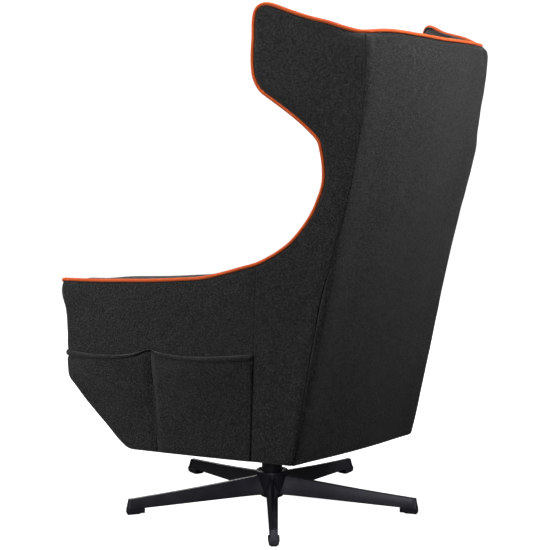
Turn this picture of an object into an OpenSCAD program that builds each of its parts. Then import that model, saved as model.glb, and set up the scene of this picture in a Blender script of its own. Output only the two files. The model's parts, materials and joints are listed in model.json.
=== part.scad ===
// Wingback swivel lounge chair on a five-arm star base.
// +X is the sitter's left, -Y the front, +Z up; the origin is on the floor under the swivel axis.

/* [Shell] */
// Height of the wing tops above the floor
overall_h = 1117; // [1080:1:1180]
// Height of the shell's flat underside
shell_bottom_z = 165; // [155:1:175]
// Rise of the wing tops above the back's top edge at the crease
wing_rise = 60; // [45:1:80]
// Reach of the arms in front of the swivel axis
arm_reach = 266; // [250:1:285]
// Height of the arm rim at the front
arm_rim_z = 541; // [525:1:560]
// Distance from the swivel axis to the back at the underside
back_foot_y = 250; // [240:1:262]
// Lean of the back, in degrees
back_lean = 13.9; // [12:0.1:15.5]
// Distance below the back's top edge where the back starts to bend upright
back_curve_drop = 227; // [210:1:250]
// Height over which the back bends upright
back_curve_h = 220; // [200:1:240]
// Width of the back between its creases
back_w = 418; // [400:1:440]
// Swell of the back between its creases
back_crown = 13; // [8:1:16]
// Flare of the sides in plan at the creases, in degrees
side_flare = 22; // [20:0.5:24]
// Plan radius that eases the flare towards the front
flare_r = 3760; // [3300:10:5000]
// Height of the nose where the front turns under
nose_z = 347; // [340:1:356]

/* [Layers] */
// Thickness of the outer covers
cover_t = 3; // [2:0.5:4]
// Thickness of the plywood side and back frames
frame_t = 15; // [12:1:18]
// Clearance between one layer and the next
layer_gap = 0.5; // [0.3:0.1:0.8]
// Thickness of the arm padding, from the outer surface
arm_pad_t = 75; // [68:1:82]
// Thickness of the wing padding, from the outer surface
wing_pad_t = 62; // [56:1:68]
// Rise of the arm padding above its rim
arm_crown = 5; // [2:1:8]
// Thickness of the padded facing on the front of each arm
facing_t = 15; // [12:1:15]
// Diameter of the piping round the rim
piping_d = 6.4; // [5:0.1:8]

/* [Seat] */
// Height of the seat deck
deck_z = 320; // [316:1:326]
// Height of the seat cushion's crown
seat_top_z = 434; // [415:1:450]
// Height of the seat cushion's side seam above the deck
seat_seam_h = 58; // [45:1:70]
// Overhang of the seat cushion past the deck's front edge
seat_nose = 11; // [4:1:14]
// Clearance round the seat cushion
cushion_gap = 3; // [1:0.5:5]
// Depth of the back padding at the middle, from the outer surface
back_pad_t = 104; // [95:1:115]
// Depth of the back padding beside the wings
back_edge_t = 80; // [72:1:86]
// Depth of the back padding's edge at the waist of the wings
waist_edge_t = 46; // [40:1:50]
// Extra depth of the lumbar swell
lumbar_t = 16; // [0:1:25]
// Height of the lumbar swell
lumbar_z = 560; // [520:1:600]

/* [Pockets] */
// Height of the pocket hem's lowest point
pocket_hem_z = 380; // [365:1:392]
// Thickness of the pocket fabric
pocket_t = 2.2; // [1.5:0.1:3]
// Stand-off of a pocket's mouth at its middle
pocket_mouth = 12; // [9:0.5:14]
// Height of the folded hem band
pocket_hem_h = 18; // [12:1:24]
// Distance of the seam between the pockets in front of the swivel axis
pocket_seam_y = 48; // [30:1:66]

/* [Frame] */
// Height of the seat rails
rail_h = 38; // [30:1:38]
// Thickness of the seat rails
rail_t = 22; // [18:1:26]
// Width of the two rails that carry the seat plate
mount_rail_w = 50; // [40:1:54]
// Thickness of the board behind the sloping front
board_t = 9; // [6:1:10]
// Thickness of the padded sloping front cover
apron_t = 9; // [6:1:10]
// Width of each strap of seat webbing
strap_w = 55; // [40:1:62]
// Thickness of the seat webbing
strap_t = 2.4; // [1.5:0.1:2.6]
// Number of seat webbing straps
strap_n = 5; // [3:1:5]
// Thickness of the cloth under the shell
dust_t = 1.5; // [1:0.1:2]

/* [Star base] */
// Radius of the star from the axis to a foot's outer edge
star_r = 350; // [320:1:380]
// Number of arms
star_n = 5; // [5:1:5]
// Direction of the first arm, in degrees from the front
star_turn = 133.1; // [0:0.1:180]
// Height of the hub's top
hub_top_z = 77; // [72:1:84]
// Height of the hub's foot
hub_foot_z = 15; // [13:1:18]
// Diameter of the hub at its top
hub_top_d = 76; // [72:1:84]
// Diameter of the hub at its foot
hub_foot_d = 54; // [53:1:60]
// Height of an arm's ridge at the hub
arm_root_z = 67; // [60:1:70]
// Height of an arm's lower edge at the hub
arm_root_low_z = 22; // [20:1:28]
// Height of an arm's ridge at the tip
arm_tip_z = 35; // [32:1:40]
// Height of an arm's lower edge at the tip
arm_tip_low_z = 12; // [11:1:14]
// Width of an arm's lower edge at the hub
arm_root_w = 28; // [25:1:32]
// Width of an arm's lower edge at the tip
arm_tip_w = 18; // [16:1:19]
// Width of the ridge along an arm
arm_ridge_w = 9; // [7:1:11]
// Wall of an arm
arm_wall = 3; // [2.5:0.1:3.4]
// Length of a foot cap
cap_l = 40; // [34:1:48]
// Width of a foot cap
cap_w = 22; // [21:0.5:26]
// Thickness of the soft pad under a foot cap
pad_h = 2.5; // [2:0.5:4]

/* [Gas lift] */
// Diameter of the outer tube
tube_d = 48; // [47:0.5:50]
// Diameter of the outer tube at its tapered foot
tube_foot_d = 45; // [44:0.5:46]
// Height of the outer tube's top
tube_top_z = 190; // [184:1:194]
// Height of the outer tube's foot
tube_foot_z = 13; // [12:1:14]
// Wall of the outer tube
tube_wall = 2; // [1.5:0.1:2.4]
// Diameter of the sliding cylinder
ram_d = 28; // [27:0.5:29]
// Diameter of the sliding cylinder's tapered top
ram_top_d = 26; // [25:0.5:26.5]
// Height of the sliding cylinder's top at its lowest
ram_top_z = 244; // [242:1:245]
// Height of the sliding cylinder's foot at its lowest
ram_foot_z = 44; // [42:1:48]
// Wall of the sliding cylinder
ram_wall = 1.6; // [1.2:0.1:2]
// Diameter of the piston rod
rod_d = 10; // [9:0.5:11]
// Length of the guide bush
bush_l = 72; // [60:1:76]
// Diameter of the valve pin
valve_d = 7; // [6:0.5:8]
// Height of the valve pin above the cylinder
valve_out = 6; // [5:0.5:6]
// Running clearance between turning and sliding pieces
run_gap = 0.05; // [0.03:0.01:0.08]

/* [Tilt mechanism] */
// Distance of the tilt shaft in front of the swivel axis
pivot_y = 34; // [33:0.5:36]
// Height of the tilt shaft
pivot_z = 238; // [234:1:240]
// Diameter of the tilt shaft
shaft_d = 12; // [10:0.5:13]
// Outside width of the housing
housing_w = 84; // [80:1:88]
// Thickness of the housing's steel
housing_t = 3; // [2.5:0.1:3.4]
// Height of the housing's foot
housing_z = 206; // [204:1:208]
// Height of the housing's side walls
housing_h = 40; // [38:1:42]
// Thickness of the seat plate
plate_t = 3; // [2.5:0.1:3.2]
// Width of the seat plate
plate_w = 190; // [180:1:200]
// Spacing of the seat plate's holes across the chair
hole_x = 160; // [150:1:164]
// Spacing of the seat plate's holes along the chair
hole_y = 174; // [168:1:180]
// Diameter of the screws that hold the seat plate
screw_d = 8; // [6:0.5:8]
// Distance of the tension bolt in front of the swivel axis
bolt_y = 74; // [73:0.5:76]
// Diameter of the tension bolt
bolt_d = 10; // [8:0.5:10.5]
// Outside diameter of the tilt spring
spring_d = 36; // [34:0.5:37]
// Diameter of the tilt spring's wire
spring_wire = 5; // [4:0.5:5.5]
// Turns of the tilt spring
spring_turns = 5; // [4:1:6]
// Diameter of the tension knob
knob_d = 48; // [44:1:50]
// Height of the tension knob
knob_h = 28; // [24:1:32]
// Height of the tension knob's top
knob_top_z = 157; // [154:1:160]
// Diameter of the lever's rod
lever_d = 8; // [7:0.5:8.5]
// Height of the lever's outer run
lever_low_z = 134; // [131:1:137]
// Distance of the lever's outer end from the swivel axis
lever_reach = 366; // [345:1:380]

/* [Hidden] */
$fn = 48;

charcoal = [0.17, 0.17, 0.18];
orange = [0.87, 0.37, 0.18];
satin_black = [0.11, 0.12, 0.15];
plywood = [0.76, 0.6, 0.42];
foam = [0.9, 0.86, 0.7];
steel = [0.6, 0.61, 0.63];

// One overrun serves every cut
cut = 1;
// Clearance between pieces that only lie near each other
seat_gap = 0.3;
// Thickness of the deck under the seat cushion
deck_t = 3.4;

// Rim of the near side, front to back: y as a share of the shell's depth, z of the rim's rise
rim_shares = [
    [0.003, 0.000], [0.022, 0.000], [0.075, 0.001], [0.141, 0.003], [0.195, 0.006], [0.249, 0.009],
    [0.299, 0.012], [0.352, 0.016], [0.418, 0.023], [0.483, 0.031], [0.547, 0.050], [0.609, 0.073],
    [0.658, 0.092], [0.702, 0.120], [0.732, 0.144], [0.763, 0.175], [0.792, 0.215], [0.815, 0.253],
    [0.833, 0.290], [0.846, 0.325], [0.857, 0.359], [0.864, 0.394], [0.866, 0.446], [0.862, 0.498],
    [0.855, 0.533], [0.833, 0.566], [0.804, 0.601], [0.771, 0.635], [0.732, 0.672], [0.698, 0.705],
    [0.681, 0.741], [0.675, 0.776], [0.674, 0.828], [0.677, 0.889], [0.678, 0.948], [0.685, 0.983],
    [0.702, 1.000], [0.729, 1.000]];
// Lower edge of the same side: y as a share of the underside's depth, z of the nose's rise
foot_shares = [
    [0.000, 1.000], [0.010, 0.846], [0.039, 0.736], [0.089, 0.566], [0.181, 0.291], [0.250, 0.080],
    [0.302, 0.000], [0.427, 0.000], [0.542, 0.000], [0.639, 0.000], [0.716, 0.000], [0.780, 0.000],
    [0.828, 0.000], [0.900, 0.000], [1.000, 0.000]];
// Crease of the same side: z as a share of the back's height
crease_shares = [
    0.151, 0.297, 0.398, 0.476, 0.538, 0.594, 0.645, 0.701, 0.751, 0.785, 0.811, 0.833, 0.853, 0.872,
    0.889, 0.905, 0.920, 0.939, 0.958, 0.976, 0.988, 0.995, 1.000];
// Depth of the padding's rounded edge on an arm and on a wing, as [run, thickness] shares
arm_edge_shares = [
    [0.00, 0.252], [0.00, 0.42], [0.00, 0.62], [0.02, 0.80], [0.09, 0.93], [0.22, 0.985], [0.45, 1.0],
    [0.75, 1.0], [1.00, 1.0]];
arm_rise_shares = [0.1, 0.75, 1, 0.7, 0, 0, 0, 0, 0];
wing_edge_shares = [
    [0.00, 0.32], [0.02, 0.40], [0.08, 0.54], [0.18, 0.69], [0.33, 0.83], [0.52, 0.94], [0.72, 0.99],
    [0.88, 1.0], [1.00, 1.0]];
// Taper of the padding over the top rows of a wing
top_taper_shares = [1.0, 0.97, 0.88, 0.66];

rim_n = len(rim_shares) - 1;
seam_row = 12;
slope_rows = 6.5;
slope = [cos(45), sin(45)];
corner_row = len(foot_shares) - 1;
back_top_z = overall_h - wing_rise;
back_h = back_top_z - shell_bottom_z;
rim_inset = piping_d / 2 + layer_gap;
frame_d = cover_t + layer_gap;
pad_d = frame_d + frame_t + layer_gap;
rail_d = pad_d + rail_t;

back_curve_z = back_top_z - back_curve_drop;

function clamp01(t) = min(1, max(0, t));
function smooth(t) = let (c = clamp01(t)) c * c * (3 - 2 * c);
function mix(a, b, t) = a + (b - a) * t;
function unit(v) = v / norm(v);

// Line through a table at a fractional row
function between(table, r) =
    let (i = min(floor(r), len(table) - 2))
    mix(table[i], table[i + 1], r - i);

// Depth of the rear crease at height z
function crease_y(z) =
    let (over = min(max(z - back_curve_z, 0), back_curve_h))
    back_foot_y + tan(back_lean)
        * (min(z, back_curve_z) - shell_bottom_z + over - over * over / (2 * back_curve_h));

shell_depth = arm_reach + crease_y(back_top_z);

// Half width of the shell at depth d under its side surface
function flare_slope(s) = tan(side_flare) - max(s, 0) / flare_r;
function side_x(y, z, d) =
    let (s = crease_y(z) - y, g = tan(side_flare) * s - pow(max(s, 0), 2) / (2 * flare_r))
    back_w / 2 + g - d * sqrt(1 + pow(flare_slope(s), 2));
function side_pt(p, d) = [side_x(p[0], p[1], d), p[0], p[1]];

// Outline points as [y, z]
rim_pts = [for (s = rim_shares) [-arm_reach + s[0] * shell_depth, mix(arm_rim_z, overall_h, s[1])]];
crease_z = [for (s = crease_shares) shell_bottom_z + s * back_h];
foot_pts = concat(
    [for (s = foot_shares) [mix(-arm_reach, back_foot_y, s[0]), mix(shell_bottom_z, nose_z, s[1])]],
    [for (z = crease_z) [crease_y(z), z]]);

function rim_at(r) = between(rim_pts, r);
function foot_at(r) = between(foot_pts, r);

// Row start, drawn in from the piping square to the rim
function rim_in(r) =
    let (t = unit(rim_at(min(r + 0.5, rim_n)) - rim_at(max(r - 0.5, 0))))
    rim_at(r) + rim_inset * [t[1], -t[0]];
// Row end, drawn in from the slope, the underside or the crease
function foot_in(r, in_slope, in_foot) =
    foot_at(r) + [r < corner_row ? 0 : -in_foot, r < slope_rows ? in_slope : r <= corner_row ? in_foot : 0];
// Points along a row that starts a length past the rim's inset
function row_pts(r, past, in_slope, in_foot, n) =
    let (p = rim_in(r), q = foot_in(r, in_slope, in_foot), u = unit(q - p))
    [for (c = [0 : n]) mix(p + u * past, q, c / n)];

// A solid between two grids of points that have the same rows and columns
function grid_faces(rows, cols, base, turn) =
    [for (i = [0 : rows - 2], j = [0 : cols - 2])
        let (a = base + i * cols + j, b = a + 1, c = a + cols, d = c + 1)
        each turn ? [[a, d, b], [a, c, d]] : [[a, b, d], [a, d, c]]];
function wall_faces(ring, o) =
    [for (k = [0 : len(ring) - 1])
        let (a = ring[k], b = ring[(k + 1) % len(ring)])
        each [[a, a + o, b + o], [a, b + o, b]]];
function border(rows, cols) = concat(
    [for (j = [0 : cols - 1]) j],
    [for (i = [1 : rows - 1]) i * cols + cols - 1],
    [for (j = [cols - 2 : -1 : 0]) (rows - 1) * cols + j],
    [for (i = [rows - 2 : -1 : 1]) i * cols]);
function six_volumes(pts, faces) =
    [for (f = faces) cross(pts[f[0]], pts[f[1]]) * pts[f[2]]] * [for (f = faces) 1];
function facing_out(pts, faces) =
    six_volumes(pts, faces) < 0 ? faces : [for (f = faces) [f[2], f[1], f[0]]];

module slab(a, b) {
    rows = len(a);
    cols = len(a[0]);
    pts = concat([for (r = a) each r], [for (r = b) each r]);
    faces = concat(
        grid_faces(rows, cols, 0, false),
        grid_faces(rows, cols, rows * cols, true),
        wall_faces(border(rows, cols), rows * cols));
    polyhedron(pts, facing_out(pts, faces));
}

// A tube swept through points, each with a direction that its section follows
module swept_tube(pts, refs, r, sides) {
    n = len(pts);
    ring_pts = [for (i = [0 : n - 1])
        let (
            t = unit(pts[min(i + 1, n - 1)] - pts[max(i - 1, 0)]),
            u = unit(cross(t, refs[i])),
            v = cross(u, t))
        each [for (k = [0 : sides - 1]) pts[i] + r * (cos(360 * k / sides) * u + sin(360 * k / sides) * v)]];
    walls = [for (i = [0 : n - 2], k = [0 : sides - 1])
        let (a = i * sides + k, b = i * sides + (k + 1) % sides, c = a + sides, d = b + sides)
        each [[a, b, d], [a, d, c]]];
    ends = [for (k = [1 : sides - 2]) each [
        [0, k + 1, k],
        [(n - 1) * sides, (n - 1) * sides + k, (n - 1) * sides + k + 1]]];
    faces = concat(walls, ends);
    polyhedron(ring_pts, facing_out(ring_pts, faces));
}

module both_ways(left) {
    if (left) children();
    else mirror([1, 0, 0]) children();
}

// A layer of the side between two depths, over rows r0 to r1
side_cols = 5;
module side_layer(r0, r1, d0, d1, past, in_slope, in_foot) {
    rows = [for (r = concat([r0], [for (i = [ceil(r0 + 0.01) : ceil(r1) - 1]) i], [r1])) r];
    lines = [for (r = rows)
        row_pts(r, past, in_slope, in_foot, side_cols)];
    slab(
        [for (line = lines) [for (p = line) side_pt(p, d0)]],
        [for (line = lines) [for (p = line) side_pt(p, d1)]]);
}

// Rows where each side layer starts and ends
first_row = 1;
roll_row = 1.1;
frame_row = 1.7;
cover_top_row = rim_n - 0.6;
frame_top_row = rim_n - 1;
slope_end_row = 6;
seam_share = 0.012;
slope_inset = 17;
roll_h = 18;

// Outer covers of the side, sewn together along an upright seam
module front_side_cover(left) {
    color(charcoal) both_ways(left)
        side_layer(0, seam_row - seam_share, 0, cover_t, 0, 0, 0);
}
module rear_side_cover(left) {
    color(charcoal) both_ways(left)
        side_layer(seam_row + seam_share, cover_top_row, 0, cover_t, 0, 0, 0);
}

// Plywood panel inside each side
module side_frame(left) {
    color(plywood) both_ways(left)
        side_layer(frame_row, frame_top_row, frame_d, frame_d + frame_t, roll_h + layer_gap,
            slope_inset, frame_d);
}

// Firm roll over the edge of the side panel
module edge_roll(left) {
    rows = concat([roll_row], [for (i = [first_row + 1 : rim_n - 1]) i]);
    lines = [for (r = rows)
        let (p = rim_in(r), u = unit(foot_in(r, slope_inset, frame_d) - p))
        [p, p + u * roll_h]];
    color(foam) both_ways(left) slab(
        [for (line = lines) [for (p = line) side_pt(p, frame_d)]],
        [for (line = lines) [for (p = line) side_pt(p, frame_d + frame_t)]]);
}

// Thickness of the side padding at height z
pad_blend_rise = 19;
pad_blend_z = arm_rim_z + pad_blend_rise;
pad_blend_h = 140;
function wingness(z) = smooth((z - pad_blend_z) / pad_blend_h);
function pad_t(z) = mix(arm_pad_t, wing_pad_t, wingness(z));

// Inner end of a row of side padding
pad_foot_z = deck_z - strap_t - deck_t - seat_gap;
function pad_foot(r) =
    let (k = foot_at(r), f = rim_at(r))
    r < corner_row ? [f[0], max(pad_foot_z, k[1] + slope_inset)]
    : let (z = max(pad_foot_z, k[1])) [crease_y(z) - pad_d - layer_gap, z];

// Padding inside each arm and wing, in one sweep along the rim
edge_run = 84;
pad_rows = concat([for (i = [first_row : rim_n - 1]) i], [cover_top_row]);
module side_pad(left) {
    taper_n = len(top_taper_shares);
    lines = [for (i = [0 : len(pad_rows) - 1])
        let (
            r = pad_rows[i],
            f_in = rim_in(r),
            k = pad_foot(r),
            u = unit(k - f_in),
            l = norm(k - f_in),
            w = wingness(f_in[1]),
            edge = min(edge_run, l),
            j = i - (len(pad_rows) - taper_n),
            taper = j < 0 ? 1 : top_taper_shares[j])
        [for (c = [0 : len(arm_edge_shares) - 1])
            let (
                e = mix(arm_edge_shares[c], wing_edge_shares[c], w),
                run = c == len(arm_edge_shares) - 1 ? l : e[0] * edge,
                rise = (1 - w) * arm_rise_shares[c] * (arm_crown + rim_inset),
                p = f_in + u * (run - rise))
            [p, max(pad_d + layer_gap, e[1] * pad_t(p[1]) * taper), f_in + u * run]]];
    color(charcoal) both_ways(left) slab(
        [for (line = lines) [for (q = line) side_pt(q[0], q[1])]],
        [for (line = lines) [for (q = line) side_pt(mix(q[2], q[0], 0.5), pad_d)]]);
}

// Padded facing on the front of an arm
facing_shares = [0, 0.12, 0.3, 0.5, 0.75, 0.93, 1];
module arm_facing(left) {
    low_z = foot_at(1)[1] + apron_t * slope[1] + seat_gap;
    high_z = arm_rim_z - rim_inset;
    rear_y = -arm_reach + facing_t - layer_gap;
    swell = facing_t / 4;
    across_n = 6;
    lines = [for (s = facing_shares)
        let (z = mix(low_z, high_z, s), nose = swell * (1 - smooth(s / facing_shares[1])))
        [for (c = [0 : across_n])
            let (
                d = mix(frame_d, arm_pad_t, c / across_n),
                bulge = swell * sin(180 * c / across_n) * (1 - pow(2 * s - 1, 4)),
                y = -arm_reach + swell / 2 + nose - bulge)
            [[side_x(y, z, d), y, z], [side_x(rear_y, z, d), rear_y, z]]]];
    color(charcoal) both_ways(left) slab(
        [for (line = lines) [for (p = line) p[0]]],
        [for (line = lines) [for (p = line) p[1]]]);
}

// Outer surface of the back, and the point at depth d under it
function back_y(c, z) = crease_y(z) + back_crown * (1 - c * c);
back_rows = 14;
back_cols = 8;
module back_layer(z0, z1, half, d0, d1) {
    grid = [for (i = [0 : back_rows]) [for (j = [0 : back_cols])
        [mix(-1, 1, j / back_cols), mix(z0, z1, i / back_rows)]]];
    slab(
        [for (line = grid) [for (p = line) [p[0] * half, back_y(p[0], p[1]) - d0, p[1]]]],
        [for (line = grid) [for (p = line) [p[0] * half, back_y(p[0], p[1]) - d1, p[1]]]]);
}

module back_cover() {
    half = back_w / 2 - frame_d - cover_t / 4;
    color(charcoal) back_layer(shell_bottom_z, back_top_z - rim_inset, half, 0, cover_t);
}

module back_frame() {
    half = back_w / 2 - pad_d * sqrt(1 + pow(tan(side_flare), 2)) - layer_gap;
    high_z = back_top_z - rim_inset - roll_h - layer_gap;
    color(plywood) back_layer(shell_bottom_z + frame_d, high_z, half, frame_d, frame_d + frame_t);
}

module top_roll() {
    half = back_w / 2 - pad_d * sqrt(1 + pow(tan(side_flare), 2)) - layer_gap;
    grid = [for (i = [0 : 1]) [for (j = [0 : back_cols])
        [mix(-1, 1, j / back_cols), back_top_z - rim_inset - roll_h * (1 - i)]]];
    color(foam) slab(
        [for (line = grid) [for (p = line) [p[0] * half, back_y(p[0], p[1]) - frame_d, p[1]]]],
        [for (line = grid) [for (p = line) [p[0] * half, back_y(p[0], p[1]) - frame_d - frame_t, p[1]]]]);
}

// Padding on the inside of the back, deepest at the loins and shallow beside the waist of the wings
waist_z = mix(arm_rim_z, overall_h, 0.39);
waist_h = 190;
lumbar_h = 150;
function bump(t) = 1 - smooth(abs(t));
function edge_t(z) = mix(waist_edge_t, back_edge_t, smooth(abs(z - waist_z) / waist_h));
function back_pad_depth(c, z) =
    let (e = edge_t(z), m = back_pad_t + lumbar_t * bump((z - lumbar_z) / lumbar_h))
    mix(e, m, pow(1 - c * c, 0.75));
function back_half(y, z) = side_x(y, z, pad_t(z)) - 2 * layer_gap;
back_pad_rows = 20;
back_pad_cols = 14;
module back_cushion() {
    low_z = deck_z + seat_gap;
    high_z = back_top_z + arm_crown;
    grid = [for (i = [0 : back_pad_rows]) [for (j = [0 : back_pad_cols])
        let (
            c = sin(90 * mix(-1, 1, j / back_pad_cols)),
            v = i / back_pad_rows,
            z = mix(low_z, high_z, v),
            full = min(1, v < 0.5 ? 0.9 + v : 0.5 + 5 * (1 - v)),
            deep = mix(pad_d, back_pad_depth(c, z), full),
            droop = (1 - full) * arm_crown * 2 * round(v),
            y = back_y(c, z) - deep)
        [[c * back_half(y, z), y, z - droop],
            [c * back_half(crease_y(z) - pad_d, z), back_y(c, z) - pad_d, z - droop]]]];
    color(charcoal) slab(
        [for (line = grid) [for (p = line) p[0]]],
        [for (line = grid) [for (p = line) p[1]]]);
}

// Seat cushion with a crown and drawn-in sides
seat_rows = 14;
seat_cols = 16;
function seat_back_y(z) = back_y(0, z) - back_pad_depth(0, z) - cushion_gap;
function seat_half(y, z) = side_x(y, z, arm_pad_t) - cushion_gap;
module seat_cushion() {
    front = -arm_reach + facing_t - seat_nose;
    seam_z = deck_z + seat_seam_h;
    band = piping_d / 2;
    crown_h = seat_top_z - seam_z - band / 2;
    base_h = seat_seam_h - seat_gap - band / 2;
    function seat_pt(u, v, z, e) =
        let (
            y = mix(front, seat_back_y(min(z, seam_z + band)), (v + 1) / 2),
            draw = cushion_gap * (1 - e) * (1 - u * u * v * v))
        [u * (seat_half(y, deck_z) - draw), y - draw * v, z];
    grid = [for (i = [0 : seat_rows]) [for (j = [0 : seat_cols])
        let (
            v = sin(90 * mix(-1, 1, i / seat_rows)),
            u = sin(90 * mix(-1, 1, j / seat_cols)),
            e = (1 - pow(abs(u), 8)) * (1 - pow(abs(v), 8)),
            crown = mix(0.8, 1, (1 - u * u) * (1 - v * v)))
        [seat_pt(u, v, seam_z + band / 2 + crown_h * pow(e, 0.22) * crown, pow(e, 0.22)),
            seat_pt(u, v, seam_z - band / 2 - base_h * pow(e, 0.22), pow(e, 0.22))]]];
    color(charcoal) slab(
        [for (line = grid) [for (p = line) p[0]]],
        [for (line = grid) [for (p = line) p[1]]]);
}

// Sloping front cover and the board behind it, spanning the shell under the seat
module slope_layer(r0, r1, t0, t1, d) {
    rows = concat([r0], [for (i = [ceil(r0 + 0.01) : ceil(r1) - 1]) i], [r1]);
    cols = 8;
    function across(r, t) = let (p = foot_at(r) + slope * t)
        [for (j = [0 : cols]) [mix(-1, 1, j / cols) * side_x(p[0], p[1], d), p[0], p[1]]];
    slab([for (r = rows) across(r, t0)], [for (r = rows) across(r, t1)]);
}
module apron() {
    color(charcoal) slope_layer(1, slope_end_row, 0, apron_t, frame_d);
}
// The board is notched where it would meet the mechanism
module front_board() {
    inner = apron_t + layer_gap;
    room = 2 * spring_room;
    color(plywood) difference() {
        slope_layer(2.4, slope_end_row - 0.6, inner, inner + board_t, pad_d);
        translate([-housing_w / 2 - room, -housing_front - room, shell_bottom_z - cut])
            cube([housing_w + 2 * room, 2 * housing_front, plate_z + plate_t - shell_bottom_z + room]);
    }
}

// Seat rails
rail_top_z = deck_z - strap_t - deck_t - 2 * seat_gap;
rail_z = rail_top_z - rail_h;
front_rail_y = -foot_at(3.5)[0] - slope_inset - board_t;
rear_rail_y = crease_y(rail_z) - pad_d - layer_gap;
module side_rail(left) {
    n = 6;
    ys = [for (i = [0 : n]) mix(-front_rail_y, rear_rail_y, i / n)];
    function line(d) = [for (y = ys) [for (z = [rail_z, rail_top_z]) [side_x(y, z, d), y, z]]];
    color(plywood) both_ways(left) slab(line(pad_d), line(rail_d));
}
module cross_rail(y0, w) {
    half = side_x(y0 + w, rail_z, rail_d + layer_gap);
    translate([-half, y0, rail_z]) cube([2 * half, w, rail_h]);
}
module front_rail() { color(plywood) cross_rail(-front_rail_y, rail_t); }
module rear_rail() { color(plywood) cross_rail(rear_rail_y - rail_t, rail_t); }

// Foam fillet between the front rail and the sloping board
module front_roll() {
    roll_w = rail_h - layer_gap;
    y = -front_rail_y - layer_gap;
    half = side_x(y, rail_z, rail_d);
    color(foam) translate([-half, 0, 0]) rotate([90, 0, 90]) linear_extrude(2 * half)
        polygon([[y, rail_top_z], [y - roll_w * 0.9, rail_top_z], [y, rail_top_z - roll_w * 0.86]]);
}

// Rails that carry the seat plate; the front one gives way to the front rail
screw_r = screw_d / 2;
module screw_places() {
    for (x = [-1, 1], y = [-1, 1])
        translate([x * hole_x / 2, y * hole_y / 2, 0]) children();
}
module mount_rails() {
    front = max((-hole_y - mount_rail_w) / 2, -front_rail_y + rail_t + layer_gap);
    color(plywood) difference() {
        union() {
            cross_rail(front, (mount_rail_w - hole_y) / 2 - front);
            cross_rail((hole_y - mount_rail_w) / 2, mount_rail_w);
        }
        screw_places() translate([0, 0, rail_z - cut])
            cylinder(h = screw_l + cut + seat_gap, r = screw_r + run_gap);
    }
}
screw_l = 28;
screw_head_r = 7;
screw_head_h = 4.5;
module plate_screws() {
    color(steel) screw_places() {
        translate([0, 0, plate_z]) cylinder(h = screw_l + plate_t, r = screw_r);
        translate([0, 0, plate_z - screw_head_h]) cylinder(h = screw_head_h, r = screw_head_r);
    }
}

// Straps and deck under the seat cushion
module seat_webbing() {
    y0 = -front_rail_y + rail_t / 4;
    l = rear_rail_y - rail_t / 4 - y0;
    pitch = 2 * (side_x(rear_rail_y, rail_z, arm_pad_t) - seat_gap) / strap_n;
    color(satin_black) for (i = [0 : strap_n - 1])
        translate([(i - (strap_n - 1) / 2) * pitch - strap_w / 2, y0, rail_top_z + seat_gap])
            cube([strap_w, l, strap_t]);
}
module seat_deck() {
    n = 6;
    y0 = -arm_reach + facing_t + cushion_gap * 3;
    y1 = crease_y(deck_z) - pad_d - 2 * layer_gap;
    function line(z) = [for (i = [0 : n])
        let (y = mix(y0, y1, i / n), x = side_x(y, deck_z, arm_pad_t) - layer_gap)
        [for (c = [-1, 0, 1]) [c * x, y, z]]];
    color(charcoal) slab(line(deck_z), line(deck_z - deck_t));
}

// Thin cloth that closes the underside, open round the mechanism
dust_open_x = [-95, 58];
dust_open_y = [-103, 54];
module dust_cover() {
    n = 8;
    y0 = foot_at(slope_end_row)[0] + apron_t;
    y1 = crease_y(shell_bottom_z) - frame_d;
    z = shell_bottom_z + seat_gap;
    function line(h) = [for (i = [0 : n])
        let (y = mix(y0, y1, i / n), x = side_x(y, z, frame_d) - seat_gap)
        [for (c = [-1, 0, 1]) [c * x, y, h]]];
    color(satin_black) difference() {
        slab(line(z + dust_t), line(z));
        translate([dust_open_x[0], dust_open_y[0], z - cut])
            cube([dust_open_x[1] - dust_open_x[0], dust_open_y[1] - dust_open_y[0], dust_t + 2 * cut]);
    }
}

// Patch pockets on the side, open along a folded hem
hem_rise_shares = [0.05, 0, 0, 0.1, 0.35, 0.6, 1];
hem_peak = 18;
rear_hem_rise = 22;
pocket_rows = 10;
pocket_depth_shares = [0.1, 0.25, 0.42, 0.6, 0.78, 0.9, 1];
pocket_margin = 4;
function lower_z(y) =
    let (hits = [for (i = [0 : corner_row - 1])
        let (a = foot_pts[i], b = foot_pts[i + 1])
        if (a[0] <= y && y <= b[0]) mix(a[1], b[1], (y - a[0]) / (b[0] - a[0]))])
    len(hits) > 0 ? hits[0] : shell_bottom_z;
function seam_y(z) =
    let (a = rim_at(seam_row), b = foot_at(seam_row))
    mix(b[0], a[0], (z - b[1]) / (a[1] - b[1]));
// A pocket under the mouth line top, down to the side's lower edge
module pocket(top, y_low0, y_low1) {
    n = len(top) - 1;
    lines = [for (i = [0 : n])
        let (
            u = i / n,
            y0 = top[i][0],
            z0 = top[i][1],
            y1 = mix(y_low0, y_low1, u),
            z1 = lower_z(y1) + pocket_margin,
            l = norm([y1 - y0, z1 - z0]),
            w = pow(sin(180 * u), 0.7),
            steps = concat([0, pocket_hem_h / l, (pocket_hem_h + pocket_t / 2) / l],
                [for (s = pocket_depth_shares) mix((pocket_hem_h + pocket_t) / l, 1, s)]))
        [for (k = [0 : len(steps) - 1])
            let (
                s = steps[k],
                p = mix([y0, z0], [y1, z1], s),
                off = seat_gap + (pocket_mouth - seat_gap) * w * (1 - smooth(s)),
                t = k < 2 ? pocket_t * 1.5 : pocket_t)
            [p, off, off + t]]];
    slab(
        [for (line = lines) [for (q = line) side_pt(q[0], -q[2])]],
        [for (line = lines) [for (q = line) side_pt(q[0], -q[1])]]);
}
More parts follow.
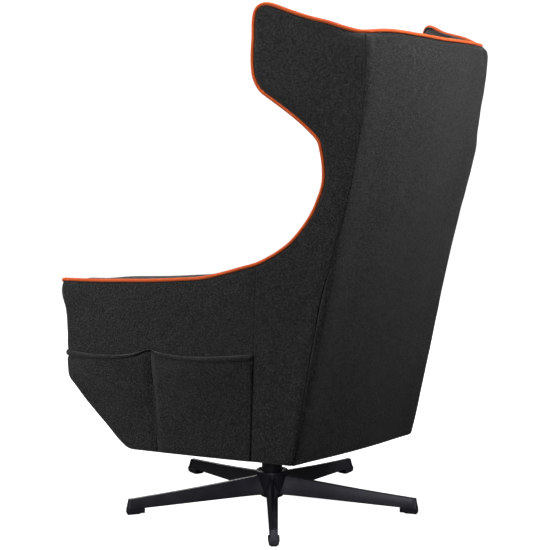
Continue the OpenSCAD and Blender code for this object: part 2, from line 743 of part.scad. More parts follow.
module front_pocket(left) {
    y0 = -arm_reach + pocket_margin;
    y1 = -pocket_seam_y - seat_gap;
    top = [for (i = [0 : pocket_rows])
        let (u = i / pocket_rows)
        [mix(y0, y1, u), pocket_hem_z + hem_peak * between(hem_rise_shares, u * (len(hem_rise_shares) - 1))]];
    color(charcoal) both_ways(left) pocket(top, y0, y1);
}
module rear_pocket(left) {
    y0 = -pocket_seam_y + seat_gap;
    y1 = seam_y(pocket_hem_z + rear_hem_rise) - pocket_margin / 2;
    y_low = seam_y(shell_bottom_z) - pocket_margin / 2;
    top = [for (i = [0 : pocket_rows])
        let (u = i / pocket_rows)
        let (sag = hem_peak * 0.55 * sin(180 * pow(u, 0.8)))
        [mix(y0, y1, u), pocket_hem_z + mix(hem_peak, rear_hem_rise, u) - sag]];
    color(charcoal) both_ways(left) pocket(top, y0, y_low);
}

// Piping along both arms and wings and across the back's top
pipe_d = piping_d / 2;
top_edge_shares = [0.2, 0.42, 0.64, 0.84];
module rim_piping() {
    facing_x = side_x(-arm_reach, arm_rim_z, arm_pad_t - pipe_d);
    front_y = -arm_reach - pipe_d;
    outer_x = side_x(-arm_reach, arm_rim_z, pipe_d);
    top_z = arm_rim_z + pipe_d / 2;
    low = concat(
        [for (z = [deck_z + pipe_d * 3, mix(deck_z, arm_rim_z, 0.35), mix(deck_z, arm_rim_z, 0.7),
            arm_rim_z - pipe_d * 4]) [facing_x, front_y, z]],
        [[facing_x + pipe_d, front_y, arm_rim_z - pipe_d], [facing_x + pipe_d * 4, front_y, top_z]]);
    turn = [[mix(facing_x, outer_x, 0.6), front_y, top_z], [outer_x - pipe_d * 3, front_y, arm_rim_z],
        [outer_x - pipe_d * 0.6, front_y + pipe_d * 0.8, arm_rim_z]];
    rim = [for (i = [1 : rim_n]) side_pt(rim_pts[i], pipe_d)];
    last = rim_pts[rim_n];
    crease = [crease_y(back_top_z), back_top_z];
    edge = [for (s = top_edge_shares) side_pt(mix(last, crease, s), pipe_d)];
    corner = [[back_w / 2 - pipe_d, crease[0] - pipe_d * 2.4, back_top_z + pipe_d * 0.3],
        [back_w / 2 - pipe_d * 1.8, crease[0] - pipe_d * 0.6, back_top_z]];
    across = [for (c = [0.92, 0.7, 0.45, 0.2]) [c * back_w / 2, back_y(c, back_top_z) - pipe_d, back_top_z]];
    half = concat(low, turn, rim, edge, corner, across);
    refs = concat(
        [for (p = low) [0, -1, 0]], [for (p = [0, 1]) [0, -1, 0]], [[1, -1, 0]],
        [for (p = rim) [1, 0, 0]], [for (p = edge) [1, 0, 0]], [[1, 0.5, 0], [0.8, 1, 0]],
        [for (p = across) [0, 1, 0]]);
    n = len(half);
    flip = [-1, 1, 1];
    pts = concat(half, [for (i = [n - 1 : -1 : 0]) [flip[0] * half[i][0], half[i][1], half[i][2]]]);
    far_refs = [for (i = [n - 1 : -1 : 0]) [flip[0] * refs[i][0], refs[i][1], refs[i][2]]];
    color(orange) swept_tube(pts, concat(refs, far_refs), pipe_d, 8);
}

// Star base: a hub with a tapered socket and hollow arms
hub_ring_w = 7;
hub_lip_h = 4;
socket_gap = 0.1;
function tube_r(z) = mix(tube_foot_d, tube_d, clamp01((z - tube_foot_z) / (hub_top_z - tube_foot_z))) / 2;
module star_places() {
    for (k = [0 : star_n - 1]) rotate([0, 0, star_turn - 90 + k * 360 / star_n]) children();
}
arm_start = tube_d / 2 + arm_wall;
function arm_line(r) = (r - arm_start) / (star_r - arm_start);
module star_arm() {
    end = star_r - cap_l * 0.35;
    rs = [for (i = [0 : 4]) mix(arm_start, end, i / 4)];
    function outer(r) = let (
        s = arm_line(r), w = mix(arm_root_w, arm_tip_w, s) / 2, z0 = mix(arm_root_low_z, arm_tip_low_z, s),
        z1 = mix(arm_root_z, arm_tip_z, s) - (arm_root_z - arm_tip_z) * 0.06 * sin(180 * s),
        g = arm_ridge_w / 2)
        [[r, -w, z0], [r, -g, z1], [r, g, z1], [r, w, z0]];
    function inner(r) = let (o = outer(r), t = arm_wall)
        [[r, o[0][1] + t, o[0][2]], [r, o[1][1] + t * 0.8, o[1][2] - t],
            [r, o[2][1] - t * 0.8, o[2][2] - t], [r, o[3][1] - t, o[3][2]]];
    slab([for (r = rs) outer(r)], [for (r = rs) inner(r)]);
}
module base_star() {
    color(satin_black) difference() {
        union() {
            rotate_extrude() polygon([
                [0, hub_foot_z], [hub_foot_d / 2, hub_foot_z], [hub_top_d / 2, hub_top_z - hub_lip_h],
                [hub_top_d / 2 - hub_lip_h / 4, hub_top_z], [0, hub_top_z]]);
            star_places() star_arm();
        }
        rotate_extrude() polygon([
            [0, hub_foot_z - cut], [tube_r(hub_foot_z) + socket_gap, hub_foot_z - cut],
            [tube_r(hub_foot_z) + socket_gap, hub_foot_z],
            [tube_r(hub_top_z - hub_lip_h) + socket_gap, hub_top_z - hub_lip_h],
            [hub_top_d / 2 - hub_ring_w, hub_top_z - hub_lip_h / 4],
            [hub_top_d / 2 - hub_ring_w, hub_top_z + cut], [0, hub_top_z + cut]]);
    }
}

// Cap and foot at the tip of an arm, in one moulding
cap_skirt = 2.5;
cap_start = star_r - cap_l;
module foot_cap(k) {
    z1 = arm_tip_z + cap_skirt;
    w = cap_w / 2;
    foot_w = w - cap_skirt / 2;
    gap = seat_gap;
    color(satin_black) rotate([0, 0, star_turn - 90 + k * 360 / star_n]) difference() {
        union() {
            rotate([90, 0, 0]) translate([0, 0, -w]) linear_extrude(2 * w)
                polygon([[cap_start, arm_tip_low_z - cap_skirt],
                    [star_r - cap_skirt, arm_tip_low_z - cap_skirt],
                    [star_r - cap_skirt, z1 - cap_l * 0.16], [star_r - cap_l * 0.3, z1 - cap_skirt * 0.4],
                    [cap_start, z1 + cap_skirt * 0.7]]);
            translate([cap_start + cap_l * 0.2, -foot_w, pad_h])
                cube([cap_l * 0.8, 2 * foot_w, arm_tip_low_z]);
        }
        slab(cap_hollow(0), cap_hollow(1));
    }
    // Hollow that takes the tip of the arm with a small clearance
    function cap_hollow(side) = let (
        r0 = cap_start - cut, r1 = star_r - cap_l * 0.35 + gap, m = side == 0 ? -1 : 1)
        [for (r = [r0, r1]) let (
            s = arm_line(r), h = mix(arm_root_w, arm_tip_w, s) / 2 + gap, g = arm_ridge_w / 2 + gap,
            z0 = mix(arm_root_low_z, arm_tip_low_z, s) - gap, z2 = mix(arm_root_z, arm_tip_z, s) + gap)
            [[r, m * h, z0], [r, m * g, z2]]];
}

module foot_pads() {
    inset = cap_skirt;
    color("dimgray") star_places()
        translate([cap_start + cap_l * 0.2 + inset, inset - cap_w / 2 + cap_skirt / 2, 0])
            cube([cap_l * 0.8 - inset * 1.5, cap_w - cap_skirt - 2 * inset, pad_h]);
}

// Gas lift
floor_t = 3;
module lift_tube() {
    r = tube_d / 2;
    bore = tube_foot_d / 2 - tube_wall;
    color(satin_black) difference() {
        rotate_extrude() polygon([[0, tube_foot_z], [tube_foot_d / 2, tube_foot_z], [r, hub_top_z],
            [r, tube_top_z], [0, tube_top_z]]);
        translate([0, 0, tube_foot_z + floor_t]) cylinder(h = tube_top_z, r = bore);
        translate([0, 0, tube_foot_z - cut]) cylinder(h = floor_t + 2 * cut, r = rod_d / 2 + run_gap);
    }
}
tube_bore = tube_foot_d / 2 - tube_wall;
bush_lip = 2;
module guide_bush() {
    z0 = tube_top_z - bush_l;
    color("gray") difference() {
        union() {
            translate([0, 0, z0]) cylinder(h = bush_l, r = tube_bore - run_gap);
            translate([0, 0, tube_top_z]) cylinder(h = bush_lip, r = tube_d / 2 - tube_wall);
        }
        translate([0, 0, z0 - cut]) cylinder(h = bush_l + bush_lip + 2 * cut, r = ram_d / 2 + run_gap);
    }
}
bearing_h = 7;
bearing_r = 14;
collar_h = 4;
module ring(z, h, r_in, r_out) {
    translate([0, 0, z]) difference() {
        cylinder(h = h, r = r_out);
        translate([0, 0, -cut]) cylinder(h = h + 2 * cut, r = r_in);
    }
}
bearing_z = tube_foot_z + floor_t + seat_gap / 3;
stop_z = bearing_z + bearing_h + collar_h + 3 * seat_gap;
stop_h = ram_foot_z - stop_z - seat_gap;
module thrust_bearing() { color(steel) ring(bearing_z, bearing_h, rod_d / 2 + 4 * run_gap, bearing_r); }
module piston_rod() {
    piston_h = 12;
    top = ram_top_z - ram_plug_h - 2 * seat_gap;
    color(steel) union() {
        translate([0, 0, rod_foot_z]) cylinder(h = top - rod_foot_z, r = rod_d / 2);
        translate([0, 0, bearing_z + bearing_h + run_gap]) cylinder(h = collar_h, r = rod_d / 2 + collar_h);
        translate([0, 0, top - piston_h]) cylinder(h = piston_h, r = ram_d / 2 - ram_wall - run_gap);
    }
}
rod_out = 6;
rod_foot_z = tube_foot_z - rod_out;
module bump_stop() { color("dimgray") ring(stop_z, stop_h, rod_d / 2 + seat_gap, bearing_r - seat_gap); }
clip_h = 2;
module rod_clip() {
    color(steel) ring(tube_foot_z - clip_h - seat_gap, clip_h, rod_d / 2 + run_gap / 2, rod_d / 2 + collar_h);
}
ram_plug_h = 34;
ram_foot_h = 8;
taper_h = 36;
module lift_cylinder() {
    r = ram_d / 2;
    color(satin_black) difference() {
        rotate_extrude() polygon([[0, ram_foot_z], [r, ram_foot_z], [r, ram_top_z - taper_h],
            [ram_top_d / 2, ram_top_z], [0, ram_top_z]]);
        translate([0, 0, ram_foot_z + ram_foot_h])
            cylinder(h = ram_top_z - ram_plug_h - ram_foot_z - ram_foot_h, r = r - ram_wall);
        translate([0, 0, ram_foot_z - cut]) cylinder(h = ram_foot_h + 2 * cut, r = rod_d / 2 + run_gap);
        translate([0, 0, ram_top_z - valve_l]) cylinder(h = valve_l + cut, r = valve_d / 2 + run_gap);
    }
}
valve_l = 16;
module valve_pin() {
    color(steel) translate([0, 0, ram_top_z - valve_l + valve_out]) cylinder(h = valve_l, r = valve_d / 2);
}

// Sheet-steel housing on the cylinder's taper
spring_room = 6;
housing_front = bolt_y + spring_d / 2 + spring_room;
housing_rear = 44;
cup_wall = 6;
cup_drop = 4;
cup_z = [housing_z, ram_top_z - cup_drop];
slot_run = 7;
lever_y = 8;
function ram_r(z) = mix(ram_d, ram_top_d, clamp01((z - (ram_top_z - taper_h)) / taper_h)) / 2;
pin_d = 5;
lever_x = 52;
lever_z = ram_top_z + valve_out + seat_gap + lever_d / 2;
module mechanism_housing() {
    w = housing_w / 2;
    ear_w = 5;
    ear_foot_z = housing_z + housing_h - lever_d;
    slot_r = bolt_d / 2 + 2 * seat_gap;
    slot_z = housing_z - cut;
    slot_h = housing_t + 2 * cut;
    cup_r = ram_r(cup_z[1]) + socket_gap;
    color(steel) difference() {
        union() {
            difference() {
                translate([-w, -housing_front, housing_z])
                    cube([2 * w, housing_front + housing_rear, housing_h]);
                translate([-w + housing_t, -housing_front + housing_t, housing_z + housing_t])
                    cube([2 * (w - housing_t), housing_front + housing_rear - 2 * housing_t, housing_h]);
            }
            translate([0, 0, cup_z[0]]) cylinder(h = cup_z[1] - cup_z[0], r = ram_d / 2 + cup_wall);
            for (m = [-1, 1]) translate([-lever_x - pin_d, m * lever_y - ear_w / 2, ear_foot_z])
                cube([lever_x + pin_d - w, ear_w, lever_z + pin_d - ear_foot_z]);
        }
        rotate_extrude() polygon([[0, cup_z[0] - cut], [ram_d / 2 + socket_gap, cup_z[0] - cut],
            [ram_r(ram_top_z - taper_h) + socket_gap, ram_top_z - taper_h],
            [cup_r, cup_z[1]], [cup_r, cup_z[1] + cut], [0, cup_z[1] + cut]]);
        translate([-w - cut, -pivot_y, pivot_z]) rotate([0, 90, 0])
            cylinder(h = 2 * (w + cut), r = shaft_d / 2 + run_gap);
        for (y = [0, slot_run]) translate([0, y - bolt_y, slot_z]) cylinder(h = slot_h, r = slot_r);
        translate([-slot_r, -bolt_y, slot_z]) cube([2 * slot_r, slot_run, slot_h]);
        translate([-lever_x, 0, lever_z]) rotate([90, 0, 0])
            cylinder(h = 4 * lever_y, r = pin_d / 2 + run_gap, center = true);
    }
}
ear_t = 4;
ear_gap = 1;
ear_x = housing_w / 2 + ear_gap;
shaft_end = 3;
module pivot_shaft() {
    l = ear_x + ear_t + shaft_end;
    color(steel) translate([-l, -pivot_y, pivot_z]) rotate([0, 90, 0]) cylinder(h = 2 * l, r = shaft_d / 2);
}
bush_t = 2;
module pivot_bushes() {
    color("gray") for (m = [-1, 1]) translate([m * (ear_x + ear_t / 2), -pivot_y, pivot_z]) rotate([0, 90, 0])
        difference() {
            cylinder(h = ear_t, r = shaft_d / 2 + bush_t, center = true);
            cylinder(h = ear_t + 2 * cut, r = shaft_d / 2 + run_gap, center = true);
        }
}
// Seat plate with ears for the shaft and for the tension bolt's head
plate_z = rail_z - seat_gap - plate_t;
plate_front = 114;
plate_rear = 112;
ear_r = 13;
trunnion_drop = 11;
trunnion_z = plate_z - trunnion_drop;
trunnion_r = 6;
trunnion_l = 26;
tab_r = 10;
tab_t = 4;
module ear(x, t, y, z, r) {
    translate([x, -y, z]) rotate([0, 90, 0]) cylinder(h = t, r = r);
    translate([x, -y - r, z]) cube([t, 2 * r, plate_z - z + cut / 2]);
}
module seat_plate() {
    color(steel) difference() {
        union() {
            translate([-plate_w / 2, -plate_front, plate_z]) cube([plate_w, plate_front + plate_rear, plate_t]);
            ear(ear_x, ear_t, pivot_y, pivot_z, ear_r);
            ear(-ear_x - ear_t, ear_t, pivot_y, pivot_z, ear_r);
            ear(trunnion_l, tab_t, bolt_y, trunnion_z, tab_r);
            ear(-trunnion_l - tab_t, tab_t, bolt_y, trunnion_z, tab_r);
        }
        translate([-housing_w, -pivot_y, pivot_z]) rotate([0, 90, 0])
            cylinder(h = 2 * housing_w, r = shaft_d / 2 + bush_t + run_gap);
        translate([-trunnion_l - tab_t - cut, -bolt_y, trunnion_z]) rotate([0, 90, 0])
            cylinder(h = 2 * (trunnion_l + tab_t + cut), r = trunnion_r + run_gap);
        screw_places() translate([0, 0, plate_z - cut])
            cylinder(h = plate_t + 2 * cut, r = screw_r + 2 * run_gap);
    }
}
bumper_w = 12;
module tilt_bumpers() {
    z = housing_z + housing_h + seat_gap / 3;
    color("dimgray") for (m = [-1, 1]) {
        translate([m * (housing_w / 2 - bumper_w / 2) - bumper_w / 2, -housing_front, z])
            cube([bumper_w, bumper_w * 0.7, plate_z - z - seat_gap]);
        translate([m * (housing_w / 2 - bumper_w / 2) - bumper_w / 2, housing_rear - bumper_w * 0.7, z])
            cube([bumper_w, bumper_w * 0.7, bumper_w * 0.35]);
    }
}

// Tension bolt hung from the seat plate, with its spring and knob
module tension_bolt() {
    foot_z = knob_top_z - knob_h * 0.8;
    color(steel) union() {
        translate([-trunnion_l - tab_t, -bolt_y, trunnion_z]) rotate([0, 90, 0])
            cylinder(h = 2 * (trunnion_l + tab_t), r = trunnion_r);
        translate([0, -bolt_y, foot_z]) cylinder(h = trunnion_z - foot_z, r = bolt_d / 2);
    }
}
module tension_knob() {
    lobes = 8;
    color(satin_black) translate([0, -bolt_y, knob_top_z - knob_h]) difference() {
        union() {
            cylinder(h = knob_h, r = knob_d / 2 - lobe_r);
            for (k = [0 : lobes - 1]) rotate([0, 0, k * 360 / lobes]) translate([knob_d / 2 - lobe_r, 0, 0])
                cylinder(h = knob_h * 0.8, r = lobe_r);
        }
        translate([0, 0, knob_h * 0.2 - seat_gap]) cylinder(h = knob_h, r = bolt_d / 2 + run_gap);
    }
}
lobe_r = 6;
module tilt_spring() {
    low = knob_top_z + seat_gap;
    high = housing_z - seat_gap;
    r = spring_wire / 2;
    steps = spring_turns * 8;
    span = high - low - 2 * r;
    pts = [for (i = [0 : steps])
        let (a = 360 * i / 8, s = i / steps, flat = smooth((s - 0.08) / 0.84))
        [cos(a) * (spring_d / 2 - r), sin(a) * (spring_d / 2 - r), low + r + span * mix(s, flat, 0.35)]];
    color(steel) translate([0, -bolt_y, 0]) swept_tube(pts, [for (p = pts) [0, 0, 1]], r, 6);
}

// Lever that presses the valve pin, cranked under the shell to the sitter's right
module lever_pin() {
    color(steel) translate([-lever_x, 0, lever_z]) rotate([90, 0, 0])
        cylinder(h = 2 * lever_y + ear_t, r = pin_d / 2, center = true);
}
crank_x = 76;
bend_r = 14;
lever_end = 6;
module rod_x(x0, x1, z) {
    translate([x0, 0, z]) rotate([0, 90, 0]) cylinder(h = x1 - x0, r = lever_d / 2);
}
module bend(x, z, turn) {
    translate([x, 0, z]) rotate([90, 0, 0]) rotate([0, 0, turn])
        rotate_extrude(angle = 90) translate([bend_r, 0]) circle(d = lever_d);
}
module lever_rod() {
    color(steel) difference() {
        union() {
            rod_x(-crank_x + bend_r, lever_end, lever_z);
            bend(-crank_x + bend_r, lever_z - bend_r, 90);
            translate([-crank_x, 0, lever_low_z + bend_r])
                cylinder(h = lever_z - lever_low_z - 2 * bend_r, r = lever_d / 2);
            bend(-crank_x - bend_r, lever_low_z + bend_r, 270);
            rod_x(-lever_reach + grip_l * 0.35, -crank_x - bend_r, lever_low_z);
        }
        translate([-lever_x, 0, lever_z]) rotate([90, 0, 0])
            cylinder(h = 2 * lever_d, r = pin_d / 2 + run_gap, center = true);
    }
}
grip_l = 84;
grip_w = 26;
grip_h = 13;
module lever_grip() {
    color(satin_black) difference() {
        hull() {
            translate([-lever_reach + grip_w / 2, 0, lever_low_z - grip_h / 2])
                cylinder(h = grip_h * 0.8, d = grip_w, $fn = 32);
            translate([-lever_reach + grip_l - grip_h / 2, 0, lever_low_z - grip_h / 2])
                cylinder(h = grip_h, d = grip_h, $fn = 32);
        }
        translate([-lever_reach + grip_l * 0.35 - run_gap, 0, lever_low_z]) rotate([0, 90, 0])
            cylinder(h = grip_l, r = lever_d / 2 + run_gap);
    }
}

base_star();
for (k = [0 : star_n - 1]) foot_cap(k);
foot_pads();
lift_tube();
guide_bush();
thrust_bearing();
bump_stop();
piston_rod();
rod_clip();
lift_cylinder();
valve_pin();
mechanism_housing();
pivot_shaft();
pivot_bushes();
tilt_bumpers();
lever_pin();
lever_rod();
lever_grip();
tilt_spring();
tension_bolt();
tension_knob();
seat_plate();
plate_screws();
mount_rails();
front_rail();
rear_rail();
front_board();
front_roll();
seat_webbing();
seat_deck();
back_frame();
top_roll();
back_cushion();
seat_cushion();
back_cover();
apron();
dust_cover();
rim_piping();
for (left = [true, false]) {
    hand = left ? "_left" : "_right";
    side_rail(left);
    side_frame(left);
    edge_roll(left);
    side_pad(left);
    arm_facing(left);
    front_side_cover(left);
    rear_side_cover(left);
    front_pocket(left);
    rear_pocket(left);
}
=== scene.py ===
"""Wingback swivel lounge chair: its upholstery, base and studio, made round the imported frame.

+X is the sitter's left, -Y the front and +Z up; the origin is on the floor under the swivel axis.
"""

import json
import math

import bmesh
import bpy
from bpy.props import FloatProperty, FloatVectorProperty, PointerProperty
from mathutils import Matrix, Vector, noise
from mathutils.bvhtree import BVHTree
from mathutils.kdtree import KDTree

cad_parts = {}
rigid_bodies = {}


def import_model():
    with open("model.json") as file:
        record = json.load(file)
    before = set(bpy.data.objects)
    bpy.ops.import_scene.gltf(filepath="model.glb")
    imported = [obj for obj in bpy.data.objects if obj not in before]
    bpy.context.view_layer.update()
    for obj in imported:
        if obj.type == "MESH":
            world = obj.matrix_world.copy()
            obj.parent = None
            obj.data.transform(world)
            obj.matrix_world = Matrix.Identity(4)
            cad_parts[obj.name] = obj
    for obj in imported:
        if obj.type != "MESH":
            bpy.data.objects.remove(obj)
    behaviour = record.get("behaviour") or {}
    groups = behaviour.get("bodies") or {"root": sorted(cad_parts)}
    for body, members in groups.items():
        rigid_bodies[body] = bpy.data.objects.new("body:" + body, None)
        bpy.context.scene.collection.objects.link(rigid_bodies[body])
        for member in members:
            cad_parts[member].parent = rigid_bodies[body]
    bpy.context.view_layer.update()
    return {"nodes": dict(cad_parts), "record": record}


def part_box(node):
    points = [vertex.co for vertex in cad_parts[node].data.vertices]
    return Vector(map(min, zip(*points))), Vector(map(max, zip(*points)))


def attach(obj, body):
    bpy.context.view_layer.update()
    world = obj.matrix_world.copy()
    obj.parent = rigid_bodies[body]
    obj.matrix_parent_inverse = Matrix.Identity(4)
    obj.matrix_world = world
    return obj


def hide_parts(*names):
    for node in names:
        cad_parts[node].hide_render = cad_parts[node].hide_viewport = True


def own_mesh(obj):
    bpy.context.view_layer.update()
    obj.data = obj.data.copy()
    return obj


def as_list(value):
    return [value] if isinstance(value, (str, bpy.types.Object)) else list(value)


bl_info = {
    "name": "Wing Chair",
    "version": (1, 0, 0),
    "blender": (4, 5, 0),
    "location": "View3D > Sidebar > Chair",
    "description": "Upholstery, base and studio of a wingback swivel lounge chair",
    "category": "Add Mesh",
}

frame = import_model()
MM = 0.001
SIDES = (("left", 1), ("right", -1))


def node_low(name):
    """Lowest corner of a frame node."""
    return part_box(name)[0]


def node_high(name):
    """Highest corner of a frame node."""
    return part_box(name)[1]


# Sizes and colours that a user would change


def length(name, text, value):
    return FloatProperty(name=name, description=text, default=value, unit="LENGTH", precision=4)


def colour(name, text, value):
    return FloatVectorProperty(name=name, description=text, default=value, subtype="COLOR",
                               size=3, min=0, max=1)


class ShellSizes(bpy.types.PropertyGroup):
    """The upholstered shell, in the frame's own sizes."""

    wing_top: length("Wing top", "Height of the wing tops above the floor", 1.117)
    back_top: length("Back top", "Height of the back's top edge", 1.057)
    bottom: length("Underside", "Height of the shell's underside", node_low("back_cover").z)
    arm_reach: length("Arm reach", "Reach of the arms in front of the swivel axis", 0.266)
    arm_rim: length("Arm rim", "Height of the arm rim at the front", 0.541)
    nose: length("Nose", "Height where the front turns under", 0.347)
    back_foot: length("Back foot", "Distance from the axis to the back at the underside", 0.250)
    back_lean: FloatProperty(name="Back lean", description="Lean of the back",
                             default=math.radians(13.9), subtype="ANGLE")
    curve_drop: length("Curve drop", "Distance below the top where the back starts to bend", 0.227)
    curve_height: length("Curve height", "Height over which the back bends upright", 0.220)
    back_width: length("Back width", "Width of the back between its creases", 0.418)
    back_crown: length("Back crown", "Swell of the back between its creases", 0.013)
    side_flare: FloatProperty(name="Side flare", description="Flare of the sides at the creases",
                              default=math.radians(22), subtype="ANGLE")
    flare_radius: length("Flare radius", "Plan radius that eases the flare", 3.760)
    arm_pad: length("Arm padding", "Thickness of an arm, from its outer surface", 0.075)
    wing_pad: length("Wing padding", "Thickness of a wing, from its outer surface", 0.062)
    deck: length("Deck", "Height of the seat deck", node_high("seat_deck").z)
    piping: length("Piping", "Diameter of the piping", 0.0064)


class TrimSizes(bpy.types.PropertyGroup):
    """Pockets, stitches and seams."""

    hem_low: length("Hem", "Height of the pocket hem's lowest point", 0.380)
    hem_peak: length("Hem peak", "Rise of the hem at the seam between the pockets", 0.018)
    hem_rear: length("Hem rear", "Rise of the rear pocket's hem at its back", 0.022)
    hem_band: length("Hem band", "Height of the folded hem", 0.014)
    pocket_seam: length("Pocket seam", "Distance from the axis to the pockets' shared seam", 0.048)
    mouth: length("Mouth", "Stand-off of a pocket's mouth at its middle", 0.012)
    cloth: length("Pocket cloth", "Thickness of the pocket cloth", 0.0022)
    stitch: length("Stitch", "Length of one stitch", 0.0042)
    stitch_pitch: length("Stitch pitch", "Distance from stitch to stitch", 0.0062)


class Finishes(bpy.types.PropertyGroup):
    """Colours and the scale of the weave."""

    charcoal: colour("Charcoal", "Upholstery cloth", (0.099, 0.099, 0.099))
    orange: colour("Orange", "Piping cloth", (1.0, 0.150, 0.026))
    satin_black: colour("Satin black", "Powder coat of the base", (0.029, 0.029, 0.037))
    yarn: length("Yarn", "Width of one yarn of the upholstery cloth", 0.0018)
    floor: colour("Floor", "Studio floor", (0.86, 0.86, 0.87))


# Outline of the shell: shares of its depth and heights, front to back

RIM_SHARES = (
    (0.003, 0.000), (0.022, 0.000), (0.075, 0.001), (0.141, 0.003), (0.195, 0.006), (0.249, 0.009),
    (0.299, 0.012), (0.352, 0.016), (0.418, 0.023), (0.483, 0.031), (0.547, 0.050), (0.609, 0.073),
    (0.658, 0.092), (0.702, 0.120), (0.732, 0.144), (0.763, 0.175), (0.792, 0.215), (0.815, 0.253),
    (0.833, 0.290), (0.846, 0.325), (0.857, 0.359), (0.864, 0.394), (0.866, 0.446), (0.862, 0.498),
    (0.855, 0.533), (0.833, 0.566), (0.804, 0.601), (0.771, 0.635), (0.732, 0.672), (0.698, 0.705),
    (0.681, 0.741), (0.675, 0.776), (0.674, 0.828), (0.677, 0.889), (0.678, 0.948), (0.685, 0.983),
    (0.702, 1.000), (0.729, 1.000))
FOOT_SHARES = (
    (0.000, 1.000), (0.010, 0.846), (0.039, 0.736), (0.089, 0.566), (0.181, 0.291), (0.250, 0.080),
    (0.302, 0.000), (0.427, 0.000), (0.542, 0.000), (0.639, 0.000), (0.716, 0.000), (0.780, 0.000),
    (0.828, 0.000), (0.900, 0.000), (1.000, 0.000))
CREASE_SHARES = (
    0.000, 0.151, 0.297, 0.398, 0.476, 0.538, 0.594, 0.645, 0.701, 0.751, 0.785, 0.811, 0.833,
    0.853, 0.872, 0.889, 0.905, 0.920, 0.939, 0.958, 0.976, 0.988, 0.995, 1.000)
SEAM_ROW = 12
CORNER_ROW = len(FOOT_SHARES) - 1
TOP_ROW = len(RIM_SHARES) - 1


def mix(a, b, t):
    return a + (b - a) * t


def clamp(x, low, high):
    return min(max(x, low), high)


def smooth(t):
    """Share from 0 to 1 that starts and ends level."""
    t = clamp(t, 0.0, 1.0)
    return t * t * (3 - 2 * t)


def bell(x, width):
    """Share that falls from 1 at x = 0 to nearly nothing at twice the width."""
    return math.exp(-(x / width) ** 2)


def through(points, t):
    """Point at fractional index t on a smooth curve through all the points."""
    last = len(points) - 1
    i = clamp(int(math.floor(t)), 0, last - 1)
    u = t - i
    a, b, c, d = (points[clamp(k, 0, last)] for k in (i - 1, i, i + 1, i + 2))
    return tuple(
        q + 0.5 * u * (r - p + u * (2 * p - 5 * q + 4 * r - s + u * (3 * (q - r) + s - p)))
        for p, q, r, s in zip(a, b, c, d))


# Soft shape of the stretched covers: heights in metres with their displacements in millimetres

CREASE_FULLNESS = (
    (0.165, 4.0), (0.90, 4.0), (1.028, 4.0), (1.043, 2.5), (1.051, -1.0), (1.057, -6.0))
RIGHT_CREASE_FULLNESS = (
    (0.165, 3.0), (0.225, 3.6), (0.274, 2.9), (0.370, 2.3), (0.465, 1.1), (0.510, 0.0),
    (0.600, 0.0), (0.695, 1.1), (0.740, 2.7), (0.785, 4.0), (0.830, 4.4), (0.875, 1.1),
    (0.920, 0.5), (0.960, 2.3), (1.000, 3.7), (1.032, 4.4), (1.042, 3.0), (1.051, -1.0),
    (1.057, -6.0))
LEFT_SEAM_DRIFT = (
    (0.165, -1.0), (0.193, -0.6), (0.255, 2.2), (0.330, 6.7), (0.420, 9.5), (0.520, 12.0),
    (0.617, 3.8), (0.690, -0.4), (0.760, -2.0), (0.825, -0.8), (0.960, 3.5), (1.040, 5.0),
    (1.057, 2.0))
ARM_FRONT_FULLNESS = (
    (0.347, 0.0), (0.398, 0.0), (0.420, -0.9), (0.454, -1.3), (0.472, -0.6), (0.481, 0.2),
    (0.490, 1.8), (0.500, 3.2), (0.509, 3.9), (0.518, 3.9), (0.527, 2.9), (0.541, 0.3))

# The same along the top edges: shares of their length with displacements in millimetres

RIGHT_TOP_SAG = (
    (-0.15, 0.0), (0.0, 4.0), (0.06, 7.5), (0.15, 5.6), (0.30, 2.2), (0.43, 0.6), (0.65, -0.8),
    (0.80, -1.6), (0.92, 0.5), (1.0, 0.0))
WING_TOP_SAG = (
    (0.0, 0.2), (0.1, 1.0), (0.2, 3.0), (0.3, 4.6), (0.4, 4.8), (0.5, 4.2), (0.6, 3.8),
    (0.7, 4.4), (0.8, 5.6), (0.9, 4.2), (1.0, -0.5))
BACK_TOP_RISE = (
    (-1.0, -1.5), (-0.85, -0.6), (-0.2, 0.0), (0.0, 1.0), (0.2, 3.0), (0.4, 4.2),
    (0.6, 5.0), (0.7, 5.4), (0.84, 2.8), (1.0, 0.5))


def table(pairs, at):
    """Smoothly read value of a table, in metres from its millimetres."""
    if at <= pairs[0][0]:
        return pairs[0][1] * MM
    for (a, p), (b, q) in zip(pairs, pairs[1:]):
        if at <= b:
            return mix(p, q, smooth((at - a) / (b - a))) * MM
    return pairs[-1][1] * MM


